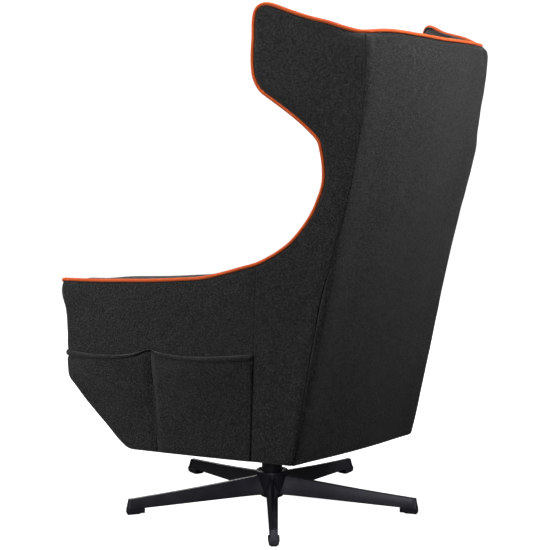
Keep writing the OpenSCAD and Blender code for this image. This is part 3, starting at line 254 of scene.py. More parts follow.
class Shell:
    """Surfaces of the shell, worked out from its sizes."""

    crease_reach = 0.010  # of the rounding on each side of a rear crease
    crease_soft, crease_far = 0.040, 0.12  # how far from a crease its fullness goes
    wing_sag_span, wing_sag_reach = (-0.15, 1.04), 0.08  # along the top edge, and down from it
    back_rise_start, back_rise_run, back_rise_reach = 0.9, 0.1, 0.06
    front_soft, front_far = 0.045, 0.2  # how far behind the arms' fronts their fullness goes
    front_inner, front_run = 0.25, 0.07  # from the middle plane, where that fullness starts
    wing_start, wing_run = 0.019, 0.140  # above the arm rim, where an arm turns into a wing
    halvings = 24

    def __init__(self):
        s = bpy.context.scene.shell_sizes
        self.s = s
        self.half_back = s.back_width / 2
        self.depth = s.arm_reach + self.crease_y(s.back_top)
        self.rim_pts = [(-s.arm_reach + y * self.depth, mix(s.arm_rim, s.wing_top, z))
                        for y, z in RIM_SHARES]
        self.foot_pts = [(mix(-s.arm_reach, s.back_foot, y), mix(s.bottom, s.nose, z))
                         for y, z in FOOT_SHARES]
        self.crease_pts = [(mix(s.bottom, s.back_top, z),) for z in CREASE_SHARES]

    def crease_y(self, z):
        """Depth of the rear crease at height z."""
        s = self.s
        start = s.back_top - s.curve_drop
        over = clamp(z - start, 0, s.curve_height)
        return s.back_foot + math.tan(s.back_lean) * (
            min(z, start) - s.bottom + over - over * over / (2 * s.curve_height))

    def side_x(self, y, z, d=0.0):
        """Half width at depth d under the side's surface."""
        s = self.s
        run = max(self.crease_y(z) - y, 0)
        slope = math.tan(s.side_flare) - run / s.flare_radius
        return (self.half_back + math.tan(s.side_flare) * (self.crease_y(z) - y)
                - run * run / (2 * s.flare_radius) - d * math.sqrt(1 + slope * slope))

    def side(self, p, d=0.0, hand=1):
        """Point of a side from its depth and height, at depth d under the surface."""
        return Vector((hand * self.side_x(p[0], p[1], d), p[0], p[1]))

    def rim(self, r):
        """Rim of the side, at a fractional row."""
        if r > TOP_ROW - 1:
            a, b = self.rim_pts[-2:]
            return Vector([mix(p, q, r - TOP_ROW + 1) for p, q in zip(a, b)])
        return Vector(through(self.rim_pts, r))

    def foot(self, r):
        """Lower edge and crease of the side, at a fractional row."""
        if r <= CORNER_ROW:
            y, z = through(self.foot_pts, r)
            return Vector((y, max(z, self.s.bottom)))
        z = through(self.crease_pts, r - CORNER_ROW)[0]
        return Vector((self.crease_y(z), z))

    def lower_z(self, y):
        """Height of the side's lower edge at depth y."""
        lo, hi = 0.0, float(CORNER_ROW)
        for _ in range(self.halvings):
            mid = (lo + hi) / 2
            if self.foot(mid).x < y:
                lo = mid
            else:
                hi = mid
        return self.foot(lo).y

    def seam_y(self, z):
        """Depth of the upright seam between the side covers."""
        a, b = self.rim(SEAM_ROW), self.foot(SEAM_ROW)
        return mix(b.x, a.x, (z - b.y) / (a.y - b.y))

    def back_y(self, c, z):
        """Outer surface of the back, at c from -1 to 1 between the creases."""
        return self.crease_y(z) + self.s.back_crown * (1 - c * c)

    def top_line(self, y):
        """Height of the wing's top edge above depth y, and the share of its length there."""
        a, b = self.rim_pts[-1], (self.crease_y(self.s.back_top), self.s.back_top)
        t = (y - a[0]) / (b[0] - a[0])
        return mix(a[1], b[1], t), t

    def from_crease(self, x, y, z):
        """Level distance of a point from the rear crease on its side."""
        return math.hypot(abs(x) - self.half_back, y - self.crease_y(z))

    def settled(self, p):
        """Where a point of the covers comes to lie once cloth and wadding have settled."""
        s = self.s
        x, y, z = p
        hand = 1 if x > 0 else -1
        line, t = self.top_line(y)
        if self.wing_sag_span[0] < t < self.wing_sag_span[1]:
            sag = table(WING_TOP_SAG, t) + (table(RIGHT_TOP_SAG, t) if x < 0 else 0)
            z -= sag * (1 - smooth((line - z) / self.wing_sag_reach))
        if t > self.back_rise_start:
            rise = table(BACK_TOP_RISE, clamp(x / self.half_back, -1, 1))
            rise *= smooth((t - self.back_rise_start) / self.back_rise_run)
            z += rise * (1 - smooth((s.back_top - z) / self.back_rise_reach))
        away = self.from_crease(x, y, z)
        if away < self.crease_far:
            full = table(CREASE_FULLNESS if hand > 0 else RIGHT_CREASE_FULLNESS, z)
            full *= bell(away, self.crease_soft)
            x += hand * full
            y += full
        ahead = y + s.arm_reach
        if ahead < self.front_far and s.nose < z:
            full = table(ARM_FRONT_FULLNESS, z) * bell(max(ahead, 0), self.front_soft)
            full *= smooth((abs(x) - self.front_inner) / self.front_run)
            x += hand * full
            y -= full
        return Vector((x, y, z))

    def drift(self, z, hand):
        """How far in front of the crease the seam beside it lies."""
        return table(LEFT_SEAM_DRIFT, z) if hand > 0 else 0.0

    def corner(self, at, z, depth, hand):
        """Point of the rounded crease, in front of it (at below 0) or across the back (above 0)."""
        reach, half = self.crease_reach, self.half_back
        y = self.crease_y(z)
        cos, sin = math.cos(self.s.side_flare), math.sin(self.s.side_flare)
        if at <= -reach:
            return self.side((y + at * cos, z), depth, hand)
        if at >= reach:
            return Vector((hand * (half - at), self.back_y((half - at) / half, z) - depth, z))
        a = self.side((y - reach * cos, z))
        b = Vector((half - reach, self.back_y((half - reach) / half, z), z))
        t = (at + reach) / (2 * reach)
        p = (1 - t) ** 2 * a + 2 * t * (1 - t) * Vector((half, y, z)) + t * t * b
        p -= Vector(((1 - t) * cos, (1 - t) * sin + t, 0)).normalized() * depth
        p.x *= hand
        return p

    def outer(self, p, depth, hand):
        """Point of the outer surface at depth and height, rounded into the back at the crease."""
        ahead = (self.crease_y(p[1]) - p[0]) / math.cos(self.s.side_flare)
        if ahead > self.crease_reach:
            return self.side(p, depth, hand)
        return self.corner(-ahead, p[1], depth, hand)

    def wing_share(self, z):
        """How much of the side at height z is wing, from 0 on an arm to 1 on a wing."""
        return smooth((z - self.s.arm_rim - self.wing_start) / self.wing_run)

    def pad(self, z):
        """Thickness of an arm or wing at height z."""
        return mix(self.s.arm_pad, self.s.wing_pad, self.wing_share(z))


# Making and finishing pieces


def rounded(e, edge):
    """Depth of a rounded edge at distance e from it; an edge is its reach and its depth."""
    reach, depth = edge
    x = 1 - clamp(e / reach, 0, 1)
    return depth * (1 - math.sqrt(1 - x * x))


def rings(edge, tuck=0.003, lines=7):
    """Distances of the lines across a rounded edge, with one line tucked under it."""
    return (-tuck,) + tuple(
        edge[0] * (1 - math.cos(math.pi / 2 * k / lines)) for k in range(lines + 1))


def between(k, count, low, high, full):
    """Distances of grid line k from both ends; each end's rounded edge has lines of its own."""
    back = count - k
    if k < len(low):
        return low[k], full - low[k]
    if back < len(high):
        return full - high[back], high[back]
    e = mix(low[-1], full - high[-1], inner_share(k, count, low, high))
    return e, full - e


def inner_share(k, count, low, high):
    """Share of the way between two rounded edges that grid line k has gone."""
    return (k - len(low) + 1) / (count - len(low) - len(high) + 2)


def grid(cols, rows, place, uv=None):
    """A new grid with its points, and its UV map if any, placed by column and row."""
    bm = bmesh.new()
    bmesh.ops.create_grid(bm, x_segments=cols, y_segments=rows, size=0.5)
    layer = bm.loops.layers.uv.verify() if uv else None
    spots = [(round((v.co.x + 0.5) * cols), round((v.co.y + 0.5) * rows)) for v in bm.verts]
    bm.verts.index_update()
    if uv:
        for f in bm.faces:
            for loop in f.loops:
                loop[layer].uv = uv(*spots[loop.vert.index])
    for v, spot in zip(bm.verts, spots):
        v.co = place(*spot)
    return bm


def piece_from(bm, name):
    """A new object from a mesh under edit, which is used up."""
    mesh = bpy.data.meshes.new(name)
    bm.to_mesh(mesh)
    bm.free()
    obj = bpy.data.objects.new(name, mesh)
    bpy.context.scene.collection.objects.link(obj)
    return obj


def edit(obj):
    bm = bmesh.new()
    bm.from_mesh(obj.data)
    return bm


def keep(bm, obj):
    bm.to_mesh(obj.data)
    bm.free()
    obj.data.update()


def sheet(name, cols, rows, place, towards, thickness):
    """A sheet on a grid, turned to face the given way and given its thickness inwards."""
    bm = grid(cols, rows, place)
    bm.normal_update()
    total = sum((f.normal * f.calc_area() for f in bm.faces), Vector())
    if total.dot(Vector(towards)) < 0:
        bmesh.ops.reverse_faces(bm, faces=bm.faces)
        bm.normal_update()
    if thickness:
        bmesh.ops.solidify(bm, geom=bm.faces, thickness=thickness)
        bmesh.ops.recalc_face_normals(bm, faces=bm.faces)
    return piece_from(bm, name)


def close(bm, split=False):
    """Fills the open ends, with triangles if they are split, and turns all faces outwards."""
    bmesh.ops.holes_fill(bm, edges=[e for e in bm.edges if e.is_boundary])
    if split:
        bmesh.ops.triangulate(bm, faces=[f for f in bm.faces if len(f.verts) > 4])
    bmesh.ops.recalc_face_normals(bm, faces=bm.faces)


def settle_cloth(obj, shell):
    """Lets a stretched piece take the soft shape of the shell."""
    for v in obj.data.vertices:
        v.co = shell.settled(v.co)
    obj.data.update()


def mirrored(obj, name):
    """A copy of a piece for the other side."""
    bm = edit(obj)
    bmesh.ops.scale(bm, vec=(-1, 1, 1), verts=bm.verts)
    bmesh.ops.reverse_faces(bm, faces=bm.faces)
    return piece_from(bm, name)


def weave_uv(obj):
    """UV map in metres, laid along the axis that each face looks to."""
    bm = edit(obj)
    layer = bm.loops.layers.uv.verify()
    bm.normal_update()
    for f in bm.faces:
        n = [abs(c) for c in f.normal]
        a, b = ((1, 2), (0, 2), (0, 1))[n.index(max(n))]
        for loop in f.loops:
            loop[layer].uv = (loop.vert.co[a], loop.vert.co[b])
    keep(bm, obj)


def shade_smooth(obj, angle=None):
    """Smooth shading, with the edges sharper than an angle in degrees left sharp."""
    obj.data.shade_smooth()
    if angle is not None:
        obj.data.set_sharp_from_angle(angle=math.radians(angle))


def settle(obj, body, slot, nodes=()):
    """Gives a finished piece its material and its place in the frame."""
    obj.data.materials.clear()
    obj.data.materials.append(bpy.data.materials[FINISH_MAKERS[slot][0]])
    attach(obj, body)
    if nodes:
        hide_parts(*nodes)
    return obj


def cloth_piece(obj, nodes=(), slot="charcoal_fabric"):
    """Finishes a piece that is cloth outside and rides the seat."""
    weave_uv(obj)
    shade_smooth(obj)
    return settle(obj, "seat", slot, nodes)


def tube(name, points, radius, sides):
    """A closed-ended tube along points, with a UV map in metres round and along it."""
    count = len(points) - 1
    travelled = [0.0]
    for a, b in zip(points, points[1:]):
        travelled.append(travelled[-1] + (b - a).length)
    tangents = [(points[min(i + 1, count)] - points[max(i - 1, 0)]).normalized()
                for i in range(count + 1)]
    across = [tangents[0].orthogonal().normalized()]
    for t in tangents[1:]:
        u = across[-1] - t * across[-1].dot(t)
        across.append(u.normalized())

    def place(i, j):
        a = 2 * math.pi * i / sides
        t, u = tangents[j], across[j]
        return points[j] + radius * (math.cos(a) * u + math.sin(a) * t.cross(u))

    def uv(i, j):
        return i / sides * 2 * math.pi * radius, travelled[j]

    bm = grid(sides, count, place, uv)
    bmesh.ops.remove_doubles(bm, verts=bm.verts, dist=radius * 0.01)
    close(bm)
    obj = piece_from(bm, name)
    shade_smooth(obj)
    return obj


def part_copy(node, name):
    """A merged copy of a frame node's mesh as a new piece."""
    bm = bmesh.new()
    bm.from_mesh(frame["nodes"][node].data)
    bmesh.ops.remove_doubles(bm, verts=bm.verts, dist=1e-5)
    bmesh.ops.dissolve_limit(bm, angle_limit=math.radians(1), verts=bm.verts, edges=bm.edges)
    return piece_from(bm, name)


# Materials


class NodeTree:
    """Shader nodes of one material, made by short calls."""

    def __init__(self, name):
        self.material = bpy.data.materials.new(name)
        self.material.use_nodes = True
        self.tree = self.material.node_tree
        self.tree.nodes.clear()
        self.out = self.tree.nodes.new("ShaderNodeOutputMaterial")

    def feed(self, socket, value):
        """Links an output to a socket, or sets the socket's own value."""
        if isinstance(value, bpy.types.NodeSocket):
            self.tree.links.new(value, socket)
        else:
            socket.default_value = value

    def add(self, kind, settings=None, **inputs):
        """A new node; its inputs are given by name, or by number after an i."""
        node = self.tree.nodes.new("ShaderNode" + kind)
        for key, value in (settings or {}).items():
            setattr(node, key, value)
        for key, value in inputs.items():
            numbered = key[0] == "i" and key[1:].isdigit()
            self.feed(node.inputs[int(key[1:]) if numbered else key.replace("_", " ")], value)
        return node

    def math(self, operation, a, b=0.0, c=0.0):
        return self.add("Math", {"operation": operation}, i0=a, i1=b, i2=c).outputs[0]

    def coords(self, kind="Object"):
        return self.add("TexCoord").outputs[kind]

    def noise(self, scale, detail=2.0, roughness=0.5, vector=None):
        return self.add("TexNoise", Vector=vector or self.coords(), Scale=scale, Detail=detail,
                        Roughness=roughness).outputs["Fac"]

    def streaks(self, scale, detail, roughness=0.5):
        """Noise drawn out along the axis with the smallest scale."""
        place = self.add("Mapping", Vector=self.coords(), Scale=scale).outputs[0]
        return self.noise(1.0, detail, roughness, place)

    def cells(self, scale):
        return self.add("TexVoronoi", Vector=self.coords(), Scale=scale).outputs["Distance"]

    def remap(self, value, source, target):
        return self.add("MapRange", Value=value, From_Min=source[0], From_Max=source[1],
                        To_Min=target[0], To_Max=target[1]).outputs[0]

    def ramp(self, fac, *stops):
        """Colour ramp; the colour of a stop is an RGB tuple, or one number for a grey."""
        node = self.add("ValToRGB", Fac=fac)
        ramp = node.color_ramp
        while len(ramp.elements) < len(stops):
            ramp.elements.new(0.5)
        for element, (place, rgb) in zip(ramp.elements, stops):
            element.position = place
            element.color = (*(rgb if isinstance(rgb, tuple) else (rgb,) * 3), 1)
        return node.outputs["Color"]

    def blend(self, fac, a, b, kind="MIX"):
        return self.add("Mix", {"data_type": "RGBA", "blend_type": kind},
                        i0=fac, i6=a, i7=b).outputs[2]

    def toned(self, share, color, fac, *stops):
        """A share of a colour, darkened by a ramp of greys."""
        return self.blend(share, color, self.ramp(fac, *stops), "MULTIPLY")

    def bump(self, height, strength, distance, normal=None):
        node = self.add("Bump", Height=height, Strength=strength, Distance=distance)
        if normal is not None:
            self.feed(node.inputs["Normal"], normal)
        return node.outputs["Normal"]

    def crossed(self, counts, power):
        """Crossing of two sets of yarns, and the dome of each float, from two counts of yarns."""
        both = self.math("MULTIPLY", *(
            self.math("SINE", self.math("MULTIPLY", c, math.pi)) for c in counts))
        return both, self.math("POWER", self.math("ABSOLUTE", both), power)

    def finish(self, color, roughness, normal=None, **values):
        shader = self.add("BsdfPrincipled", Base_Color=color, Roughness=roughness, **values)
        if normal is not None:
            self.feed(shader.inputs["Normal"], normal)
        self.feed(self.out.inputs["Surface"], shader.outputs[0])
        return self.material

    def even_finish(self, fac, stops, roughness, relief=None, **values):
        """A finish whose tone, and relief if any, follow one texture."""
        normal = self.bump(fac, *relief) if relief else None
        return self.finish(self.ramp(fac, *stops), roughness, normal, **values)


def shade(rgb, k):
    return tuple(min(1.0, c * k) for c in rgb)


def rgba(rgb):
    return (*rgb, 1.0)


def basket_weave(n, yarn):
    """Dome, over-or-under share and chance tone of each float of a basket weave, on the UV map."""
    uv = n.add("SeparateXYZ", Vector=n.coords("UV"))
    steps = [n.math("DIVIDE", uv.outputs[k], yarn) for k in (0, 1)]
    both, dome = n.crossed(steps, 0.55)
    over = n.math("MULTIPLY_ADD", both, 0.5, 0.5)
    cell = n.add("CombineXYZ", i0=n.math("FLOOR", steps[0]), i1=n.math("FLOOR", steps[1]))
    chance = n.add("TexWhiteNoise", {"noise_dimensions": "2D"}, Vector=cell.outputs[0]).outputs[0]
    return dome, over, chance


def charcoal_cloth(n, finishes):
    """Charcoal basket-weave wool: paler floats, darker gaps, uneven yarns, shading and fuzz."""
    base = tuple(finishes.charcoal)
    dome, over, chance = basket_weave(n, finishes.yarn)
    patch, slub = n.noise(7.0, 4.0, 0.6), n.noise(400.0, 3.0, 0.85)
    fleck = n.math("GREATER_THAN", n.noise(900.0, 2.0, 0.7), 0.68)
    cloth = n.ramp(over, (0.25, shade(base, 0.62)), (0.60, shade(base, 1.0)),
                   (0.95, shade(base, 2.1)))
    gap = n.math("MULTIPLY", n.math("SUBTRACT", 1.0, dome), 0.75)
    cloth = n.blend(gap, cloth, rgba(shade(base, 0.25)))
    for share, fac, stops in ((1.0, chance, ((0.0, 0.20), (1.0, 1.0))),
                              (1.0, slub, ((0.39, 0.26), (0.62, 1.0))),
                              (0.35, patch, ((0.3, 0.70), (0.7, 1.0)))):
        cloth = n.toned(share, cloth, fac, *stops)
    cloth = n.blend(n.math("MULTIPLY", fleck, 0.30), cloth, rgba(shade(base, 4.0)))
    fuzz = n.bump(slub, 0.25, 0.0010, n.bump(dome, 0.60, 0.0010))
    return n.finish(cloth, 0.9, fuzz, Sheen_Weight=0.24, Sheen_Roughness=0.35,
                    Sheen_Tint=(0.9, 0.9, 0.9, 1.0), Specular_IOR_Level=0.22)


def piping_cloth(n, finishes):
    """Orange cloth wound round a cord, with a fine slanting weave."""
    base, yarn = tuple(finishes.orange), 0.0011
    uv = n.add("SeparateXYZ", Vector=n.coords("UV"))
    slants = [n.math(way, uv.outputs[0], uv.outputs[1]) for way in ("ADD", "SUBTRACT")]
    dome = n.crossed([n.math("DIVIDE", c, yarn) for c in slants], 0.6)[1]
    cloth = n.ramp(dome, (0.05, shade(base, 0.55)), (0.75, base))
    cloth = n.toned(0.30, cloth, n.noise(30.0, 3.0), (0.3, 0.72), (0.7, 1.0))
    return n.finish(cloth, 0.72, n.bump(dome, 0.4, 0.0005), Sheen_Weight=0.05,
                    Sheen_Roughness=0.5, Specular_IOR_Level=0.3)


def lining_cloth(n, finishes):
    """Thin black lining cloth and webbing."""
    dome, over, _ = basket_weave(n, finishes.yarn * 0.5)
    cloth = n.ramp(n.math("MULTIPLY", dome, over), (0.1, 0.006), (0.8, 0.022))
    return n.finish(cloth, 0.95, n.bump(dome, 0.4, 0.0005), Specular_IOR_Level=0.2)


def powder_coat(n, finishes):
    """Satin black powder coat: fine orange peel and broad patches that are paler at random."""
    base = tuple(finishes.satin_black)
    broad = n.noise(26.0, 4.0, 0.6)
    tone = n.ramp(broad, (0.3, base), (0.75, shade(base, 1.5)))
    return n.finish(tone, n.remap(broad, (0.3, 0.7), (0.30, 0.42)),
                    n.bump(n.noise(1400.0), 0.16, 0.0004), Coat_Weight=0.12, Coat_Roughness=0.3)


def moulded_nylon(n, finishes):
    """Moulded black nylon with a fine spark grain."""
    base = tuple(finishes.satin_black)
    scuff = n.noise(60.0, 5.0, 0.7)
    tone = n.ramp(scuff, (0.35, shade(base, 1.1)), (0.8, shade(base, 2.0)))
    return n.finish(tone, n.remap(scuff, (0.3, 0.75), (0.42, 0.6)),
                    n.bump(n.cells(1500.0), 0.25, 0.0004))


def bright_steel(n, _):
    """Ground, zinc-plated steel with faint turning lines."""
    lines = n.streaks((40.0, 40.0, 900.0), 3.0)
    rough = n.remap(lines, (0.0, 1.0), (0.22, 0.40))
    return n.even_finish(lines, ((0.3, (0.42, 0.43, 0.45)), (0.7, (0.60, 0.61, 0.63))), rough,
                         (0.08, 0.0003), Metallic=1.0)


def black_steel(n, _):
    """Pressed steel with a thin black electro-coat."""
    stops = ((0.45, (0.014, 0.014, 0.016)), (0.80, (0.045, 0.045, 0.048)))
    return n.even_finish(n.streaks((30.0, 700.0, 30.0), 4.0), stops, 0.45, (0.1, 0.0003),
                         Metallic=0.25)


def rubber(n, _):
    """Matt black rubber."""
    return n.even_finish(n.noise(700.0, 3.0), ((0.3, 0.012), (0.8, 0.03)), 0.85, (0.3, 0.0004),
                         Specular_IOR_Level=0.3)


def acetal(n, _):
    """Pale moulded bush plastic."""
    stops = ((0.3, (0.60, 0.59, 0.54)), (0.7, (0.72, 0.71, 0.66)))
    return n.even_finish(n.noise(40.0, 3.0), stops, 0.4)


def birch_ply(n, _):
    """Birch plywood: long grain with paler and darker bands."""
    stops = ((0.30, (0.42, 0.27, 0.14)), (0.55, (0.60, 0.43, 0.25)), (0.75, (0.70, 0.54, 0.34)))
    return n.even_finish(n.streaks((60.0, 60.0, 4.0), 6.0, 0.65), stops, 0.62, (0.2, 0.0006))


def cream_foam(n, _):
    """Open-cell upholstery foam."""
    stops = ((0.1, (0.45, 0.40, 0.26)), (0.6, (0.78, 0.72, 0.52)))
    return n.even_finish(n.cells(600.0), stops, 0.95, (0.5, 0.0008))


FINISH_MAKERS = {
    "charcoal_fabric": ("Charcoal cloth", charcoal_cloth),
    "orange_piping": ("Orange piping cloth", piping_cloth),
    "black_cloth": ("Black lining cloth", lining_cloth),
    "satin_black_metal": ("Satin black powder coat", powder_coat),
    "black_plastic": ("Moulded black nylon", moulded_nylon),
    "bright_steel": ("Bright steel", bright_steel),
    "black_steel": ("Black coated steel", black_steel),
    "rubber_buffer": ("Black rubber", rubber),
    "bush_plastic": ("Pale acetal", acetal),
    "plywood": ("Birch plywood", birch_ply),
    "foam": ("Cream foam", cream_foam)}


class CHAIR_OT_materials(bpy.types.Operator):
    """Make the finishes and give each frame node the finish of its slot"""

    bl_idname = "chair.materials"
    bl_label = "Materials"

    def execute(self, context):
        made = {slot: make(NodeTree(name), context.scene.finishes)
                for slot, (name, make) in FINISH_MAKERS.items()}
        for row in frame["record"]["subparts"]:
            mesh = frame["nodes"][row["node"]].data
            mesh.materials.clear()
            mesh.materials.append(made[row["material_slot"]])
        return {"FINISHED"}


# Outer covers

SEAM_EDGE = (0.0045, 0.0022)
UPRIGHT_EDGE = (0.0035, 0.0012)
FOOT_EDGE = (0.0080, 0.0055)
FRONT_EDGE = (0.0100, 0.0060)
RIM_EDGE = (0.0100, 0.0052)
COVER_WALL = 0.0012
LIFT_RUN = 0.01  # over which the wadding's swell starts beside an edge


def puff(e, height=0.0016, reach=0.045):
    """Swell of the thin wadding under a cover, at distance e from its nearest edge."""
    return height * smooth(e / reach)


def ripple(p, amount, size):
    """A slight, fixed unevenness of stretched cloth."""
    return amount * noise.noise(Vector(p) / size)


def cover_depth(near, unevenness):
    """Depth of a cover's point under its surface, from its distances to its rounded edges."""
    depth = max(rounded(e, edge) for e, edge in near)
    tuck = max(max(-e for e, _ in near), 0)
    clear = max(min(e for e, _ in near), 0)
    return depth + tuck - (puff(clear) + unevenness) * smooth(clear / LIFT_RUN)


class CHAIR_OT_side_covers(bpy.types.Operator):
    """Make the outer covers of both sides, in two parts that meet at the upright seam"""

    bl_idname = "chair.side_covers"
    bl_label = "Side covers"
    # part, end rows, end edges, grid lines to a row, inner columns, crowding to the foot
    parts = (
        ("front_side_cover", 0, SEAM_ROW, FRONT_EDGE, UPRIGHT_EDGE, 5, 26, 1),
        ("rear_side_cover", SEAM_ROW, TOP_ROW - 0.45, UPRIGHT_EDGE, RIM_EDGE, 4, 34, 1.35))

    unevenness, wave = 0.0006, 0.07
    least_gap = 0.002
    refinements = 2

    def cover(self, shell, hand, r0, r1, edge0, edge1, per_row, inner, crowd):
        """Grid and rule for one part of a side's cover, with a rounded edge at each end row."""
        rim_rings, foot_rings = rings(RIM_EDGE), rings(SEAM_EDGE if r1 > SEAM_ROW else FOOT_EDGE)
        low, high = rings(edge0), rings(edge1)
        cols = len(rim_rings) + len(foot_rings) + inner
        rows = len(low) + len(high) + int((r1 - r0) * per_row)
        inset = shell.s.piping * 0.5

        def row_at(j, share):
            """Row number and distance from each end row, of grid line j."""
            span0 = self.gap(shell, r0, r0 + 1, share)
            span1 = self.gap(shell, r1 - 1, r1, share)
            if j < len(low):
                return r0 + max(low[j], 0) / span0, low[j], 1.0
            k = rows - j
            if k < len(high):
                return r1 - max(high[k], 0) / span1, 1.0, high[k]
            start, end = r0 + low[-1] / span0, r1 - high[-1] / span1
            r = mix(start, end, inner_share(j, rows, low, high))
            return r, (r - r0) * span0, (r1 - r) * span1

        def place(i, j):
            r, e0, e1 = row_at(j, 0.5)
            for _ in range(self.refinements):
                a, b = shell.rim(r), shell.foot(r)
                if r > CORNER_ROW:
                    b.x -= shell.drift(b.y, hand)
                run = (b - a).length
                a = a + (b - a) / run * inset
                run -= inset
                if i < len(rim_rings) or cols - i < len(foot_rings):
                    ea, eb = between(i, cols, rim_rings, foot_rings, run)
                else:
                    inside = 1 - (1 - inner_share(i, cols, rim_rings, foot_rings)) ** crowd
                    ea = mix(rim_rings[-1], run - foot_rings[-1], inside)
                    eb = run - ea
                r, e0, e1 = row_at(j, max(ea, 0) / run)
            p = a + (b - a) * (clamp(ea, 0, run) / run)
            foot_edge = SEAM_EDGE if r > CORNER_ROW else FOOT_EDGE
            near = ((ea, RIM_EDGE), (eb, foot_edge), (e0, edge0), (e1, edge1))
            uneven = ripple((hand, *p), self.unevenness, self.wave)
            return shell.outer(p, cover_depth(near, uneven), hand)

        return cols, rows, place

    def gap(self, shell, r0, r1, share):
        """Distance between two rows at a share of their length."""
        a = shell.rim(r0).lerp(shell.foot(r0), share)
        b = shell.rim(r1).lerp(shell.foot(r1), share)
        along = (shell.foot(r1) - shell.rim(r1)).normalized()
        step = b - a
        return max((step - along * step.dot(along)).length, self.least_gap)

    def execute(self, context):
        shell = Shell()
        for part, *rule in self.parts:
            for hand, sign in SIDES:
                obj = sheet(f"outer_{part}_{hand}", *self.cover(shell, sign, *rule),
                            (sign, 0, 0), COVER_WALL)
                settle_cloth(obj, shell)
                cloth_piece(obj, (f"{part}_{hand}",))
        return {"FINISHED"}


class CHAIR_OT_back_cover(bpy.types.Operator):
    """Make the outer cover of the back"""

    bl_idname = "chair.back_cover"
    bl_label = "Back cover"
    wrap_lines, wrap_end = 12, 0.036
    inner_cols, inner_rows = 30, 80
    unevenness, wave = 0.0010, 0.11
    # depth of the dimple under each top corner, its place across and below the top, and its size
    dimple, dimple_c, dimple_below, dimple_size = 0.0030, 0.90, 0.024, (0.05, 0.009)

    def execute(self, context):
        shell = Shell()
        s, half = shell.s, shell.half_back
        side_rings, top_rings, low_rings = rings(SEAM_EDGE), rings(RIM_EDGE), rings(FOOT_EDGE)
        wrapped = len(side_rings) + self.wrap_lines
        cols = 2 * wrapped + self.inner_cols
        rows = len(top_rings) + len(low_rings) + self.inner_rows
        top = s.back_top - s.piping * 0.5

        def across(k, start):
            """Place of column k, counted from its own side, and its distance from the edge."""
            if k < len(side_rings):
                return start + max(side_rings[k], 0), side_rings[k]
            if k < wrapped:
                share = (k - len(side_rings) + 1) / self.wrap_lines
                at = mix(start + side_rings[-1], self.wrap_end, share)
            else:
                at = mix(self.wrap_end, half, (k - wrapped + 1) / (cols / 2 - wrapped + 1))
            return at, at - start

        def place(i, j):
            up, down = between(j, rows, low_rings, top_rings, top - s.bottom)
            z = s.bottom + clamp(up, 0, top - s.bottom)
            hand = 1 if 2 * i > cols else -1
            at, e = across(min(i, cols - i), -shell.drift(z, hand))
            c = hand * (half - at) / half
            near = ((e, SEAM_EDGE), (up, FOOT_EDGE), (down, RIM_EDGE))
            depth = cover_depth(near, ripple((c * half, 0, z), self.unevenness, self.wave))
            wide, tall = self.dimple_size
            pull = bell(abs(c) - self.dimple_c, wide) * bell(z - top + self.dimple_below, tall)
            return shell.corner(at, z, depth + self.dimple * pull, hand)

        obj = sheet("outer_back_cover", cols, rows, place, (0, 1, 0), COVER_WALL)
        settle_cloth(obj, shell)
        cloth_piece(obj, ("back_cover",))
        return {"FINISHED"}


class CHAIR_OT_boards(bpy.types.Operator):
    """Ease the edges of the shell's boards, so that they lie under the settled covers"""

    bl_idname = "chair.boards"
    bl_label = "Boards"
    ease, ease_reach = 0.0035, 0.030

    def eased(self, shell, p):
        """A board's point, drawn in near the creases and wherever the covers sink."""
        q = shell.settled(p)
        hand = 1 if p.x > 0 else -1
        ease = self.ease * bell(shell.from_crease(*p), self.ease_reach)
        x = hand * (min(abs(p.x), abs(q.x)) - ease)
        return Vector((x, min(p.y, q.y) - ease, q.z))

    def execute(self, context):
        shell = Shell()
        for node, name in (("side_frame_left", "side_board_left"),
                           ("side_frame_right", "side_board_right"),
                           ("back_frame", "bent_back_board")):
            obj = part_copy(node, name)
            for v in obj.data.vertices:
                v.co = self.eased(shell, v.co)
            shade_smooth(obj, 30)
            settle(obj, "seat", "plywood", (node,))
        return {"FINISHED"}


class CHAIR_OT_apron(bpy.types.Operator):
    """Make the padded cover of the sloping front"""

    bl_idname = "chair.apron"
    bl_label = "Apron"
    cols, rows = 72, 44
    first_row, last_row = 0.75, 6.35
    side_edge, end_edge = (0.004, 0.004), (0.012, 0.010)
    tall = 0.24
    swell = 0.003
    unevenness, wave = 0.0010, 0.08
    slope = 0.7

    def execute(self, context):
        shell = Shell()
        side_rings = rings(self.side_edge)

        def place(i, j):
            v = j / self.rows
            p = shell.foot(mix(self.first_row, self.last_row, v))
            wide = 2 * shell.side_x(p.x, p.y, COVER_WALL)
            near = between(i, self.cols, side_rings, side_rings, wide)
            x, e = clamp(near[0], 0, wide) - wide / 2, min(near)
            ends = min(v, 1 - v) * self.tall
            depth = rounded(e, self.side_edge) + max(-e, 0) + rounded(ends, self.end_edge)
            lift = puff(min(e, ends), self.swell) + ripple((x, *p), self.unevenness, self.wave)
            inward = (depth - lift * smooth(e / LIFT_RUN)) * self.slope
            return Vector((x, p.x + inward, p.y + inward))

        obj = sheet("front_apron", self.cols, self.rows, place, (0, -1, -1), COVER_WALL)
        cloth_piece(obj, ("apron",))
        return {"FINISHED"}


# Padding inside the arms, wings and back: shares of its run and its thickness, from the rim

